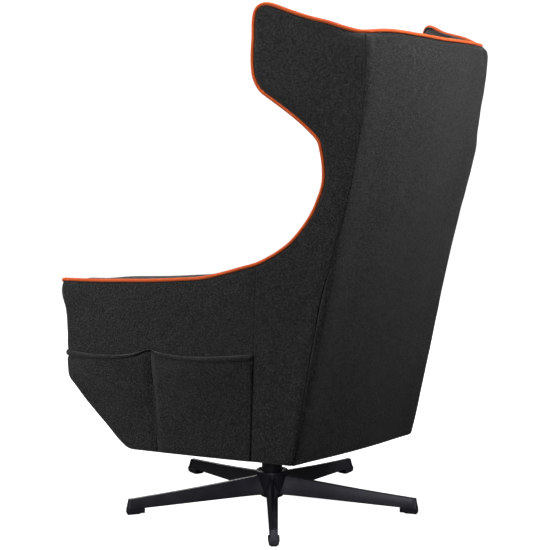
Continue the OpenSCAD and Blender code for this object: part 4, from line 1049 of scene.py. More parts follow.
ARM_ALONG_SHARES = (
    (0.040, 0.060), (0.012, 0.080), (-0.010, 0.135), (-0.028, 0.240), (-0.046, 0.373),
    (-0.056, 0.533), (-0.046, 0.693), (-0.004, 0.833), (0.080, 0.927), (0.182, 0.973),
    (0.335, 0.997), (0.600, 1.005), (1.000, 1.000))
WING_ALONG_SHARES = (
    (0.040, 0.073), (0.004, 0.095), (0.046, 0.155), (0.115, 0.250), (0.185, 0.355),
    (0.265, 0.465), (0.355, 0.580), (0.450, 0.690), (0.555, 0.795), (0.665, 0.880),
    (0.785, 0.945), (0.895, 0.985), (1.000, 1.000))


def rolled(e, reach):
    """Share of full padding at distance e from a piped edge."""
    least, power = 0.07, 2.6
    x = clamp(e / reach, 0, 1)
    return mix(least, 1, math.sqrt(1 - (1 - x) ** power))


class CHAIR_OT_side_pads(bpy.types.Operator):
    """Make the padded inner covers that sweep along each arm and wing, over their edge rolls"""

    bl_idname = "chair.side_pads"
    bl_label = "Arm and wing padding"
    edge_run, edge_most = 0.084, 0.9  # of the rounded rim, and its greatest share of a row
    board, skin = 0.0195, 0.0042  # depths under the outer surface, behind a board or a cover
    roll = 0.018
    deck_tuck, foot_gap = 0.004, 0.006
    crown, crown_start, crown_run = (-0.1, 1.45), 0.03, 0.13  # height of the rim behind the front
    unevenness, wave = 0.0022, 0.085
    corner_thin, corner_reach = 0.24, 0.16  # share of the padding left at the wing's top corner
    top_reach = 0.075
    front_edge, front_gap, front_tall = (0.020, 0.012), 0.004, 0.02
    edge_cols, body_cols = 36, 16
    front_rows = (0.30, 0.45, 0.60, 0.80)
    body_rows = 200
    top_rows = (0.7, 0.52, 0.38, 0.27, 0.18, 0.11, 0.06, 0.03)

    def inner_end(self, shell, r):
        """Where a row's padding ends, above the deck or in front of the back's board."""
        level = shell.s.deck - self.deck_tuck
        p = shell.foot(r)
        if r < CORNER_ROW:
            return Vector((shell.rim(r).x, max(level, p.y + self.foot_gap)))
        z = max(level, p.y)
        back = mix(self.board, self.skin, smooth((p.y - node_low("top_roll").z) / 0.003))
        return Vector((shell.crease_y(z) - back, z))

    def section(self, shell, r):
        """Closed loop of points round the padding at a row, on the side's surface with depths."""
        s = shell.s
        a, b = shell.rim(r), self.inner_end(shell, r)
        run = (b - a).length
        u = (b - a) / run
        wing = shell.wing_share(a.y)
        edge = min(self.edge_run, run * self.edge_most)
        crown = mix(*self.crown, smooth((a.x + s.arm_reach - self.crown_start) / self.crown_run))
        points = []
        for k in range(self.edge_cols + 1):
            t = k / self.edge_cols * (len(ARM_ALONG_SHARES) - 1)
            arm, top = through(ARM_ALONG_SHARES, t), through(WING_ALONG_SHARES, t)
            arm = (arm[0] * (crown if arm[0] < 0 else 1), arm[1])
            along, thick = (mix(p, q, wing) for p, q in zip(arm, top))
            points.append([a + u * along * edge, thick])
        for k in range(1, self.body_cols + 1):
            points.append([a + u * mix(edge, run, k / self.body_cols), 1.0])
        top_a, top_b = shell.rim(TOP_ROW), shell.foot(TOP_ROW)
        way = (top_b - top_a).normalized()
        for item in points:
            p, thick = item
            below = abs((p - top_a).cross(way))
            full = shell.pad(p.y)
            soft = ripple((r * 0.03, *p), self.unevenness, self.wave)
            soft *= smooth((thick - 0.3) / 0.4)
            corner = math.hypot(p.x - shell.rim_pts[-2][0], p.y - s.wing_top)
            thin = mix(self.corner_thin, 1, smooth(corner / self.corner_reach))
            most = rolled(below, self.top_reach) if r > SEAM_ROW else 1
            item[1] = min(thick, most) * full * (thin if thick > 0.2 else 1) + soft
            if wing == 0 and p.y > s.arm_rim - self.front_tall:
                p.y -= rounded(p.x + s.arm_reach - self.front_gap, self.front_edge)
        for along, depth in ((run, mix(self.board, full, 0.5)), (run, self.board),
                             (mix(self.roll, run, 0.5), self.board), (self.roll, self.board),
                             (self.roll, self.skin), (self.roll * 0.5, self.skin)):
            depth = min(depth, points[0][1]) if r > TOP_ROW - 0.2 else depth
            points.append([a + u * along, depth])
        return points

    def execute(self, context):
        shell = Shell()
        rows = list(self.front_rows)
        rows += [mix(1.0, TOP_ROW - 1, k / self.body_rows) for k in range(self.body_rows + 1)]
        rows += [TOP_ROW - e for e in self.top_rows]
        loops = [self.section(shell, r) for r in rows]
        count = len(loops[0])

        def place(i, j):
            return shell.side(*loops[j][i % count])

        bm = grid(count, len(rows) - 1, place)
        bmesh.ops.remove_doubles(bm, verts=bm.verts, dist=1e-6)
        close(bm, split=True)
        left = piece_from(bm, "inner_padding_left")
        right = mirrored(left, "inner_padding_right")
        for obj, (hand, _) in zip((left, right), SIDES):
            settle_cloth(obj, shell)
            cloth_piece(obj, (f"side_pad_{hand}", f"edge_roll_{hand}"))
        return {"FINISHED"}


CLOTH_SETTINGS = {
    "quality": 6, "mass": 0.25, "tension_stiffness": 18, "compression_stiffness": 18,
    "shear_stiffness": 8, "bending_stiffness": 1.5, "use_pressure": True}


def simulate(obj, cap, pressure, frames=20):
    """Swells a closed mesh with cloth pressure, and caps how far a point may move."""
    rest = [v.co.copy() for v in obj.data.vertices]
    cloth = obj.modifiers.new("swell", "CLOTH")
    for key, value in CLOTH_SETTINGS.items():
        setattr(cloth.settings, key, value)
    cloth.settings.uniform_pressure_force = pressure
    cloth.settings.effector_weights.gravity = 0
    cloth.collision_settings.use_collision = False
    cloth.point_cache.frame_start, cloth.point_cache.frame_end = 1, frames
    scene = bpy.context.scene
    for f in range(1, frames + 1):
        scene.frame_set(f)
    shaped = obj.evaluated_get(bpy.context.evaluated_depsgraph_get())
    moved = [v.co.copy() for v in shaped.data.vertices]
    obj.modifiers.remove(cloth)
    for v, start, end in zip(obj.data.vertices, rest, moved):
        step = end - start
        if step.length > cap:
            step *= cap / step.length
        v.co = start + step
    scene.frame_set(1)


def remesh(obj, voxel):
    """Evens out a mesh to one voxel size."""
    obj.data.remesh_voxel_size = voxel
    bpy.context.view_layer.objects.active = obj
    obj.select_set(True)
    bpy.ops.object.voxel_remesh()
    obj.select_set(False)


def subdivide(obj, levels, smoothing=0):
    """Applied subdivisions, followed by rounds of smoothing."""
    mod = obj.modifiers.new("finer", "SUBSURF")
    mod.levels = mod.render_levels = levels
    shaped = obj.evaluated_get(bpy.context.evaluated_depsgraph_get())
    mesh = bpy.data.meshes.new_from_object(shaped)
    obj.modifiers.clear()
    obj.data = mesh
    bm = edit(obj)
    for _ in range(smoothing):
        bmesh.ops.smooth_vert(bm, verts=bm.verts, factor=0.5, use_axis_x=True,
                              use_axis_y=True, use_axis_z=True)
    keep(bm, obj)


def swell(obj, voxel, cap, pressure):
    remesh(obj, voxel)
    simulate(obj, cap, pressure)
    subdivide(obj, 1, smoothing=2)


def block(name, cuts, place):
    """A closed block, cut into a fine grid on every face and placed by a rule on -1 to 1."""
    bm = bmesh.new()
    bmesh.ops.create_cube(bm, size=2)
    for axis, count in enumerate(cuts):
        for k in range(1, count):
            at, normal = Vector(), Vector()
            at[axis] = -1 + 2 * k / count
            normal[axis] = 1
            bmesh.ops.bisect_plane(bm, geom=bm.verts[:] + bm.edges[:] + bm.faces[:],
                                   plane_co=at, plane_no=normal)
    for v in bm.verts:
        v.co = place(v.co.copy())
    bmesh.ops.recalc_face_normals(bm, faces=bm.faces)
    return piece_from(bm, name)


def tree_of(mesh):
    """Search tree of a mesh's faces."""
    return BVHTree.FromPolygons([v.co for v in mesh.vertices],
                                [tuple(f.vertices) for f in mesh.polygons])


class CushionRoom:
    """Space that the seat and back cushions fill, worked out from the shell."""

    gap = 0.003
    seam_height = 0.058
    waist_share = 0.39  # of the way up from the arm rim to the wing's top
    edge_depths, edge_run = (0.046, 0.080), 0.190  # at the waist, and far above or below it
    depth, bump, bump_height, bump_reach = 0.104, 0.016, 0.560, 0.150
    board_depths = (0.0192, 0.0044)

    def __init__(self, shell):
        self.shell = shell
        s = shell.s
        self.low = s.deck + 0.0005
        self.top = node_high("seat_cushion").z
        self.seam = self.low + self.seam_height
        self.front = node_low("seat_cushion").y
        self.board_top = node_low("top_roll").z
        self.waist = mix(s.arm_rim, s.wing_top, self.waist_share)
        self.pads = {sign: tree_of(bpy.data.objects[f"inner_padding_{hand}"].data)
                     for hand, sign in SIDES}

    def half(self, x, y, z, thick):
        """Half the room's width on x's side, up to the padding of the arm or wing."""
        hand = 1 if x > 0 else -1
        hit = self.pads[hand].ray_cast(Vector((0, y, z)), Vector((hand, 0, 0)))[0]
        return abs(hit.x) if hit else self.shell.side_x(y, z, thick)

    def back_depth(self, c, z):
        """Depth of the back padding under the outer surface, at c from -1 to 1."""
        edge = mix(*self.edge_depths, smooth(abs(z - self.waist) / self.edge_run))
        bump = 1 - smooth(abs((z - self.bump_height) / self.bump_reach))
        return mix(edge, self.depth + self.bump * bump, max(1 - c * c, 0) ** 0.75)

    def back_half(self, x, y, z):
        return self.half(x, y, z, self.shell.pad(z)) - 0.0004

    def back_board(self, z):
        """Depth of the back board's front under the outer surface, or of the cover above it."""
        return mix(*self.board_depths, smooth((z - self.board_top) / 0.003))

    def seat_back(self, z):
        """How far back the seat cushion reaches at height z."""
        return self.shell.back_y(0, z) - self.back_depth(0, z) - self.gap

    def seat_half(self, x, y, z):
        return self.half(x, y, z, self.shell.s.arm_pad) - self.gap

    def seat_middle(self, z):
        """Middle of the seat cushion at height z."""
        return Vector((0, (self.front + self.seat_back(self.seam)) / 2, z))


class CHAIR_OT_seat_cushion(bpy.types.Operator):
    """Make the loose seat cushion, swollen by simulation, with a welted seam"""

    bl_idname = "chair.seat_cushion"
    bl_label = "Seat cushion"
    cuts = (30, 24, 6)
    front_inset, rear_inset = 0.010, 0.006  # of the block before it swells
    tall, thinner = 0.044, 0.010  # half its height, and what it loses to its sides
    corner = 0.018
    overlap = 0.001
    seam_pull, seam_reach, seam_points = 0.0028, 0.009, 240
    welt, welt_sides, welt_sunk = 0.0026, 10, 0.0012

    def execute(self, context):
        room = CushionRoom(Shell())
        mid = (room.low + room.top) / 2 - 0.004

        def place(p):
            y = mix(room.front + self.front_inset, room.seat_back(room.low) - self.rear_inset,
                    (p.y + 1) / 2)
            half = room.seat_half(p.x, y, room.low + 0.03) - self.rear_inset
            tall = self.tall - self.thinner * max(abs(p.x), abs(p.y)) ** 6
            corner = self.corner * (abs(p.x) * abs(p.y)) ** 6
            return Vector((p.x * (half - corner), y - p.y * corner, mid + p.z * tall))

        obj = block("seat_cushion_cover", self.cuts, place)
        swell(obj, voxel=0.0075, cap=0.022, pressure=5.0)
        self.fit(obj, room)
        route = self.seam(obj, room)
        near = KDTree(len(route))
        for k, p in enumerate(route):
            near.insert(p, k)
        near.balance()
        for v in obj.data.vertices:
            pull = self.seam_pull * bell(near.find(v.co)[2], self.seam_reach)
            v.co += (room.seat_middle(v.co.z) - v.co).normalized() * pull
        cloth_piece(tube("seat_cushion_welt", route, self.welt, self.welt_sides))
        cloth_piece(obj, ("seat_cushion",))
        return {"FINISHED"}

    def seam(self, obj, room):
        """Closed route round the cushion's sides at the height of its seam."""
        tree = tree_of(obj.data)
        centre = room.seat_middle(room.seam)
        route = []
        for k in range(self.seam_points + 1):
            turn = k / self.seam_points * math.tau
            way = Vector((math.cos(turn), math.sin(turn), 0))
            hit = tree.ray_cast(centre + way, -way)[0]
            route.append(hit - way * self.welt_sunk)
        return route

    def fit(self, obj, room):
        """Keeps the cushion on its deck, inside the arms and in front of the back."""
        for v in obj.data.vertices:
            x, y, z = v.co
            z = max(z, room.low)
            half = room.seat_half(x, y, min(z, room.top)) + self.overlap
            y = min(y, room.seat_back(min(z, room.seam)) + self.overlap)
            v.co = (clamp(x, -half, half), y, z)


class CHAIR_OT_back_cushion(bpy.types.Operator):
    """Make the padding of the back, swollen by simulation"""

    bl_idname = "chair.back_cushion"
    bl_label = "Back cushion"
    cuts = (30, 5, 56)
    skin = 0.004  # kept free of the simulation's swelling
    top_least, top_reach = 0.26, 0.050  # of the padding's share at the top edge
    foot_share, foot_reach = 0.94, 0.04

    def execute(self, context):
        shell = Shell()
        room = CushionRoom(shell)
        low, high = room.low, shell.s.back_top - 0.0030

        def place(p):
            z = mix(low, high, 1 - (1 - (p.z + 1) / 2) ** 1.25)
            c = math.sin(math.pi / 2 * p.x)
            board = room.back_board(z) + 0.0004
            full = mix(self.foot_share, 1, smooth((z - low) / self.foot_reach))
            full *= max(self.top_least, rolled(high + self.skin - z, self.top_reach))
            inner = board + (room.back_depth(c, z) - self.skin - board) * full
            y = shell.back_y(c, z) - mix(inner, board, (p.y + 1) / 2)
            return Vector((c * (room.back_half(c, y, z) - 0.001), y, z))

        obj = block("back_cushion_cover", self.cuts, place)
        swell(obj, voxel=0.007, cap=0.010, pressure=4.0)
        for v in obj.data.vertices:
            x, y, z = v.co
            z = clamp(z, low, high)
            half = room.back_half(x, y, z)
            y = min(y, shell.back_y(clamp(x / half, -1, 1), z) - room.back_board(z))
            p = (clamp(x, -half, half), y, z)
            v.co = shell.settled(p) if z > room.board_top - 0.03 else p
        cloth_piece(obj, ("back_cushion", "top_roll"))
        return {"FINISHED"}


class CHAIR_OT_arm_facings(bpy.types.Operator):
    """Make the padded facings on the fronts of the arms"""

    bl_idname = "chair.arm_facings"
    bl_label = "Arm facings"
    cols, rows = 30, 64
    edge = (0.006, 0.0035)
    swell, steep = 0.0045, 8
    drop, rear = 0.0115, 0.0035  # below the arm rim, and behind the arm's front
    foot, foot_run = 0.0030, 0.12
    unevenness, wave = 0.0010, 0.05
    start = 0.0022  # under the side's surface

    def execute(self, context):
        shell = Shell()
        s = shell.s
        low, high = node_low("arm_facing_left").z, s.arm_rim - self.drop

        def place(i, j):
            u, v = i / self.cols, j / self.rows
            z = mix(low, high, v)
            near = min(u * s.arm_pad, (1 - u) * s.arm_pad, (1 - v) * (high - low) + 0.001)
            full = min(1, self.steep * (1 - v)) * min(1, self.steep * v)
            y = -s.arm_reach - 0.0005 - self.swell * math.sin(math.pi * u) ** 0.7 * full
            y += rounded(near, self.edge)
            y += self.foot * (1 - smooth(v / self.foot_run))
            y += ripple((u * 0.1, 0, z), self.unevenness, self.wave)
            return Vector((shell.side_x(y, z, mix(self.start, s.arm_pad, u)), y, z))

        left = sheet("arm_facing_cover_left", self.cols, self.rows, place, (0, -1, 0), 0)
        bm = edit(left)
        grown = bmesh.ops.extrude_edge_only(bm, edges=[e for e in bm.edges if e.is_boundary])
        for v in grown["geom"]:
            if isinstance(v, bmesh.types.BMVert):
                v.co.y = -s.arm_reach + self.rear
        close(bm)
        keep(bm, left)
        right = mirrored(left, "arm_facing_cover_right")
        for piece, (hand, _) in zip((left, right), SIDES):
            settle_cloth(piece, shell)
            cloth_piece(piece, (f"arm_facing_{hand}",))
        return {"FINISHED"}


# Pockets: shares of the hem's rise and of its band, from front to back

FRONT_HEM_SHARES = (0.10, 0.0, -0.08, -0.05, 0.08, 0.42, 1.0)
FRONT_BAND_SHARES = (1.0, 0.90, 0.72, 0.62, 0.58, 0.52, 0.15)
REAR_BAND_SHARES = (0.15, 0.50, 0.66, 0.76, 0.84, 0.92, 1.0)


def spread(shares, u):
    """Value at u from 0 to 1 on a smooth curve through evenly spread shares."""
    return through([(share,) for share in shares], u * (len(shares) - 1))[0]


class Pocket:
    """Shape of one patch pocket of the left side, the front one or the rear one."""

    front_gap, side_gap, seam_gap = 0.0038, 0.0005, 0.0001
    foot_gap = 0.0015
    breadth = 0.21
    lift = 0.0006  # of the cloth's inner face off the side
    mouth_rest = 0.0035  # share of the mouth's stand-off that its folds make
    rear_sag = 0.55
    fold, fold_height, fold_size = 0.0062, 0.322, 0.017
    hem_thick, hem_lip = 0.0040, 0.0022
    groove, groove_size = 0.0020, 0.0018
    slack, slack_size = 0.0034, 0.075
    sewn, sewn_size = 0.0005, 0.003
    full = 0.0026

    def __init__(self, shell, trim, rear):
        self.shell, self.trim, self.rear = shell, trim, rear
        self.bands = REAR_BAND_SHARES if rear else FRONT_BAND_SHARES

    def depth_at(self, u, z):
        """Depth in the chair at u from front to back; the rear pocket ends at the seam at z."""
        seam = -self.trim.pocket_seam
        if self.rear:
            return mix(seam + self.seam_gap, self.shell.seam_y(z) - self.side_gap, u)
        return mix(-self.shell.s.arm_reach + self.front_gap, seam - self.seam_gap, u)

    def top(self, u):
        """Point of the mouth at u."""
        trim = self.trim
        y = self.depth_at(u, trim.hem_low + trim.hem_rear)
        if not self.rear:
            return Vector((y, trim.hem_low + trim.hem_peak * spread(FRONT_HEM_SHARES, u)))
        sag = trim.hem_peak * self.rear_sag * math.sin(math.pi * u ** 0.8)
        return Vector((y, trim.hem_low + mix(trim.hem_peak, trim.hem_rear, u) - sag))

    def low(self, u):
        """Point of the lower edge at u."""
        y = self.depth_at(u, self.shell.s.bottom)
        return Vector((y, self.shell.lower_z(y) + self.foot_gap))

    def run(self, u):
        """Height of the pocket at u."""
        return (self.low(u) - self.top(u)).length

    def band(self, u):
        """Height of the folded hem at u."""
        return self.trim.hem_band * spread(self.bands, u)

    def stand_off(self, p, u, s, run):
        """Distance of the cloth from the side, at u front to back and s from mouth to foot."""
        trim, rear = self.trim, self.rear
        down, band = s * run, self.band(u)
        edge = min(u, 1 - u) * self.breadth
        wide = math.sin(math.pi * clamp(u, 0, 1)) ** 0.7
        mouth = (trim.mouth - self.mouth_rest) * wide * (1 - smooth(s * 1.15)) ** 1.2
        slope = -0.25 if rear else 0.45
        fold = self.fold * bell(p.y - self.fold_height + (p.x + 0.15) * slope, self.fold_size)
        fold *= smooth(edge / 0.06) * smooth(down / 0.05) * (0.35 if rear else 1.0)
        if down > band:
            hem = self.hem_lip * smooth((down - band) / 0.010)
            hem *= 1 - smooth((down - 0.04) / 0.05)
        else:
            dome = math.sqrt(max(math.sin(math.pi * (down / band)), 0))
            hem = self.hem_thick * dome + self.lift
        groove = self.groove * bell(down - band, self.groove_size)
        slack = ripple((p.x * 0.7, p.y, 0.3), self.slack, self.slack_size) * smooth(edge / 0.05)
        sewn = self.sewn * bell(edge, self.sewn_size)
        flat = smooth(min(edge, (1 - s) * run) / 0.008)
        full = self.full * smooth(edge / (0.050 if rear and u > 0.5 else 0.016))
        return self.lift + (mouth + fold + slack + full) * flat + hem - groove - sewn

    def point(self, u, s, lift):
        """Point of the cloth at a lift off its inner face."""
        a, b = self.top(u), self.low(u)
        p = a.lerp(b, s)
        return self.shell.side(p, -self.stand_off(p, u, s, (b - a).length) - lift)


class CHAIR_OT_pockets(bpy.types.Operator):
    """Make the four patch pockets with their folded hems and stitches"""

    bl_idname = "chair.pockets"
    bl_label = "Pockets"
    cols, hem_lines, body_lines = 72, 16, 56
    hem_cover = 1.3
    flat_steps = 24
    slack_size, slack_area = 1.02, 1.03
    bead = 0.0004

    def execute(self, context):
        shell = Shell()
        trim = context.scene.trim_sizes
        for part, rear in (("front_pocket", False), ("rear_pocket", True)):
            pocket = Pocket(shell, trim, rear)

            def place(i, j):
                u = i / self.cols
                hem = pocket.band(u) * self.hem_cover / pocket.run(u)
                s = (j / self.hem_lines * hem if j <= self.hem_lines
                     else mix(hem, 1, (j - self.hem_lines) / self.body_lines))
                return pocket.point(u, s, trim.cloth * 0.6)

            obj = sheet(f"{part}_cloth_left", self.cols, self.hem_lines + self.body_lines, place,
                        (1, 0, 0), trim.cloth * 0.8)
            right = mirrored(obj, f"{part}_cloth_right")
            stitches = self.stitches(pocket, f"{part}_stitches_left")
            others = mirrored(stitches, f"{part}_stitches_right")
            flat = self.flat_size(pocket)
            for piece, sewn, (hand, _) in zip((obj, right), (stitches, others), SIDES):
                settle_cloth(piece, shell)
                settle_cloth(sewn, shell)
                cloth_piece(piece, (f"{part}_{hand}",))
                cloth_piece(sewn, (), "black_cloth")
        return {"FINISHED"}

    def flat_size(self, pocket):
        """Width, height and area of a pocket's cloth before it is sewn on."""
        steps = [k / self.flat_steps for k in range(self.flat_steps + 1)]
        tops, lows = [pocket.top(u) for u in steps], [pocket.low(u) for u in steps]
        upper, lower = ([pocket.shell.side(p) for p in line] for line in (tops, lows))
        area = 0.0
        for a, b, c, d in zip(upper, upper[1:], lower[1:], lower):
            area += ((b - a).cross(c - a).length + (c - a).cross(d - a).length) / 2
        width = sum((b - a).length for a, b in zip(upper, upper[1:]))
        height = max((a - b).length for a, b in zip(tops, lows))
        return width * self.slack_size, height * self.slack_size, area * self.slack_area

    def stitches(self, pocket, name):
        """Lock stitches along the hem's lower edge."""
        bm = bmesh.new()
        trim = pocket.trim
        a, b = (pocket.shell.side(pocket.top(u)) for u in (0, 1))
        count = int((b - a).length / trim.stitch_pitch)
        half = 0.5 * trim.stitch / trim.stitch_pitch
        for k in range(1, count):
            start, end = (pocket.point(u, pocket.band(u) / pocket.run(u), trim.cloth * 0.95)
                          for u in ((k - half) / count, (k + half) / count))
            way = end - start
            turn = way.to_track_quat("Z", "Y").to_matrix().to_4x4()
            bead = bmesh.ops.create_icosphere(bm, subdivisions=1, radius=1)["verts"]
            bmesh.ops.scale(bm, vec=(self.bead, self.bead, way.length / 2), verts=bead)
            bmesh.ops.transform(bm, matrix=Matrix.Translation(start.lerp(end, 0.5)) @ turn,
                                verts=bead)
        return piece_from(bm, name)


# Piping


class CHAIR_OT_piping(bpy.types.Operator):
    """Make the orange piping round the arms, the wings and the back's top"""

    bl_idname = "chair.piping"
    bl_label = "Piping"
    fine = 12
    spacing = 0.0035
    swell = 0.58
    sides = 14
    drop = 0.0085

    def route(self, shell, hand):
        """Key points of one half, from the deck up to the middle of the back."""
        s = shell.s
        r = s.piping / 2
        inner = shell.side_x(-s.arm_reach, s.arm_rim, s.arm_pad - r)
        outer = shell.side_x(-s.arm_reach, s.arm_rim, r)
        front = -s.arm_reach - r
        low = s.arm_rim - self.drop
        points = [Vector((x, front, z)) for x, z in (
            (inner, s.deck + r * 3), (inner, mix(s.deck, s.arm_rim, 0.35)),
            (inner, mix(s.deck, s.arm_rim, 0.7)), (inner, low - r * 4),
            (inner + r * 0.7, low - r * 1.3), (inner + r * 3.6, low),
            (mix(inner, outer, 0.35), low), (mix(inner, outer, 0.75), low),
            (outer - r * 2.5, low + r * 0.6))]
        points.append(Vector((outer - r * 0.2, front + r * 1.2, s.arm_rim - r * 0.3)))
        points += [shell.side(p, r) for p in shell.rim_pts[1:]]
        crease = Vector((shell.crease_y(s.back_top), s.back_top))
        last = Vector(shell.rim_pts[-1])
        points += [shell.side(last.lerp(crease, k), r) for k in (0.2, 0.4, 0.6, 0.78, 0.9)]
        points.append(Vector((shell.half_back - r * 1.2, crease.x - r * 0.8, s.back_top)))
        points += [Vector((c * shell.half_back, shell.back_y(c, s.back_top) - r, s.back_top))
                   for c in (0.90, 0.76, 0.6, 0.45, 0.3, 0.15)]
        for p in points:
            p.x *= hand
        return [shell.settled(p) if p.y > front + r * 0.5 else p for p in points]

    def execute(self, context):
        shell = Shell()
        keys = [tuple(p) for p in self.route(shell, 1) + self.route(shell, -1)[::-1]]
        spaced = []
        for k in range((len(keys) - 1) * self.fine + 1):
            p = Vector(through(keys, k / self.fine))
            if not spaced or (p - spaced[-1]).length > self.spacing:
                spaced.append(p)
        obj = tube("orange_rim_piping", spaced, shell.s.piping * self.swell, self.sides)
        settle(obj, "seat", "orange_piping", ("rim_piping",))
        return {"FINISHED"}


# Star base and mechanism


def lofted(bm, sections):
    """A closed bar through a row of sections, and the set of its corners."""
    verts = [bm.verts.new(p) for p in sections[0]]
    face = bm.faces.new(verts)
    made = set(verts)
    for section in sections[1:]:
        face = bmesh.ops.extrude_discrete_faces(bm, faces=[face])["faces"][0]
        for v, p in zip(face.verts, section):
            v.co = p
        made.update(face.verts)
    return made


def eased_edges(bm, edges, offset, segments, clamped=False):
    """Rounds edges off."""
    bmesh.ops.bevel(bm, geom=edges, offset=offset, offset_type="OFFSET", affect="EDGES",
                    segments=segments, profile=0.5, material=-1, clamp_overlap=clamped)


class CHAIR_OT_base(bpy.types.Operator):
    """Make the cast star with its rounded edges, and the caps on its arms"""

    bl_idname = "chair.base"
    bl_label = "Star base"
    arms = 5
    turn = math.radians(133.1 - 90)
    start, reach = 0.027, 0.350
    # from root to tip: an arm's width, and the heights of its lower and upper edges
    widths, lows, highs = (0.028, 0.018), (0.022, 0.012), (0.067, 0.035)
    root_flare, root_at, root_size = 0.003, 0.030, 0.016
    sag = 0.032 * 0.06
    ridge, wall = 0.0045, 0.003
    root_radii = (0.024, 0.030, 0.038, 0.050)
    cap = 0.040
    # radius and height round the hub's section
    hub_outline = (
        (0.0227, 0.0155), (0.0235, 0.0150), (0.0262, 0.0150), (0.0270, 0.0158),
        (0.0325, 0.0440), (0.0376, 0.0700), (0.0380, 0.0725), (0.0380, 0.0755),
        (0.0374, 0.0766), (0.0362, 0.0770), (0.0318, 0.0770), (0.0311, 0.0766),
        (0.0309, 0.0758), (0.0309, 0.0738), (0.0245, 0.0732), (0.0241, 0.0726))

    def turned(self, bm, verts, k):
        """Turns an arm's corners from the X axis to arm k."""
        bmesh.ops.rotate(bm, cent=(0, 0, 0), verts=verts,
                         matrix=Matrix.Rotation(self.turn + k * math.tau / self.arms, 3, "Z"))

    def ring(self, r):
        """Section of an arm at radius r, open below."""
        t = (r - self.start) / (self.reach - self.start)
        w = mix(*self.widths, t) / 2 + self.root_flare * bell(r - self.root_at, self.root_size)
        low = mix(*self.lows, t)
        high = mix(*self.highs, t) - self.sag * math.sin(math.pi * clamp(t, 0, 1))
        ridge, wall = self.ridge, self.wall
        half = ((w, low), (w - wall, low), (ridge - wall * 0.8, high - wall))
        return ([(r, -w, low), (r, -ridge, high), (r, ridge, high)]
                + [(r, x, z) for x, z in half] + [(r, -x, z) for x, z in reversed(half[1:])])

    def arm(self, bm):
        radii = self.root_radii + tuple(mix(0.07, self.reach - 0.009, k / 9) for k in range(10))
        made = lofted(bm, [self.ring(r) for r in radii])
        eased_edges(bm, [e for e in bm.edges if made.issuperset(e.verts)
                         and abs(e.verts[0].co.x - e.verts[1].co.x) > 0.004
                         and min(v.co.z for v in e.verts) > 0], 0.0011, 3)

    def hub(self, bm):
        verts = [bm.verts.new((r, 0, z)) for r, z in self.hub_outline]
        edges = [bm.edges.new((a, b)) for a, b in zip(verts, verts[1:] + verts[:1])]
        bmesh.ops.spin(bm, geom=verts + edges, cent=(0, 0, 0), axis=(0, 0, 1),
                       angle=2 * math.pi, steps=72, use_merge=True)

    def execute(self, context):
        one, bm = bmesh.new(), bmesh.new()
        self.arm(one)
        self.hub(bm)
        mesh = bpy.data.meshes.new("one arm")
        one.to_mesh(mesh)
        one.free()
        for k in range(self.arms):
            before = len(bm.verts)
            bm.from_mesh(mesh)
            bm.verts.ensure_lookup_table()
            self.turned(bm, bm.verts[before:], k)
        bpy.data.meshes.remove(mesh)
        bmesh.ops.recalc_face_normals(bm, faces=bm.faces)
        obj = piece_from(bm, "cast_star")
        shade_smooth(obj, 32)
        settle(obj, "base", "satin_black_metal", ("base_star",))
        for k in range(self.arms):
            self.foot_cap(k)
        return {"FINISHED"}

    def foot_cap(self, k):
        """Moulded shoe under and over an arm's tip, with a slanted end and rounded edges."""
        low, lip, top = 0.0025, 0.0130, 0.0352
        end = self.reach - 0.0075

        def section(r, rise, lean):
            """Ring of points at radius r; rise lifts its top, lean slants it."""
            heights = ((0.0100, low), (0.0125, lip), (0.0094, mix(lip + 0.0004, 0.0170, rise)),
                       (0.0055, mix(lip + 0.0004, top, rise)))
            half = [(r - (z - low) * lean, x, z) for x, z in heights]
            return half + [(y, -x, z) for y, x, z in reversed(half)]

        bm = bmesh.new()
        lofted(bm, [section(*at) for at in (
            (self.reach - self.cap, 0, 0), (end - 0.0004, 0, 0.10), (end, 1, 0.14),
            (self.reach, 1, 0.14))])
        bmesh.ops.recalc_face_normals(bm, faces=bm.faces)
        sharp = [e for e in bm.edges if e.calc_face_angle(0) > math.radians(25)]
        eased_edges(bm, sharp, 0.0007, 2, clamped=True)
        self.turned(bm, bm.verts, k)
        obj = piece_from(bm, f"tip_shoe_{k + 1}")
        shade_smooth(obj, 30)
        settle(obj, "base", "black_plastic", (f"foot_cap_{k + 1}",))


class CHAIR_OT_tilt_spring(bpy.types.Operator):
    """Make the coil spring that the tension knob loads"""

    bl_idname = "chair.tilt_spring"
    bl_label = "Tilt spring"
    turns, steps, sides = 5, 24, 12
    wire = 0.0025
    closed = 0.35
    pressed = 0.832

    def execute(self, context):
        low, high = Vector(node_low("tilt_spring")), Vector(node_high("tilt_spring"))
        middle = (low + high) / 2
        reach = (high.x - low.x) / 2 - self.wire
        count = self.turns * self.steps
        points = []
        for k in range(count + 1):
            share, a = k / count, 2 * math.pi * k / self.steps
            rise = mix(share, smooth((share - 0.08) / 0.84), self.closed)
            points.append(Vector((middle.x + math.cos(a) * reach, middle.y + math.sin(a) * reach,
                                  mix(low.z + self.wire, high.z - self.wire, rise))))
        obj = tube("tilt_spring_coil", points, self.wire, self.sides)
        settle(obj, "carriage", "black_steel", ("tilt_spring",))
        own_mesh(obj)
        return {"FINISHED"}


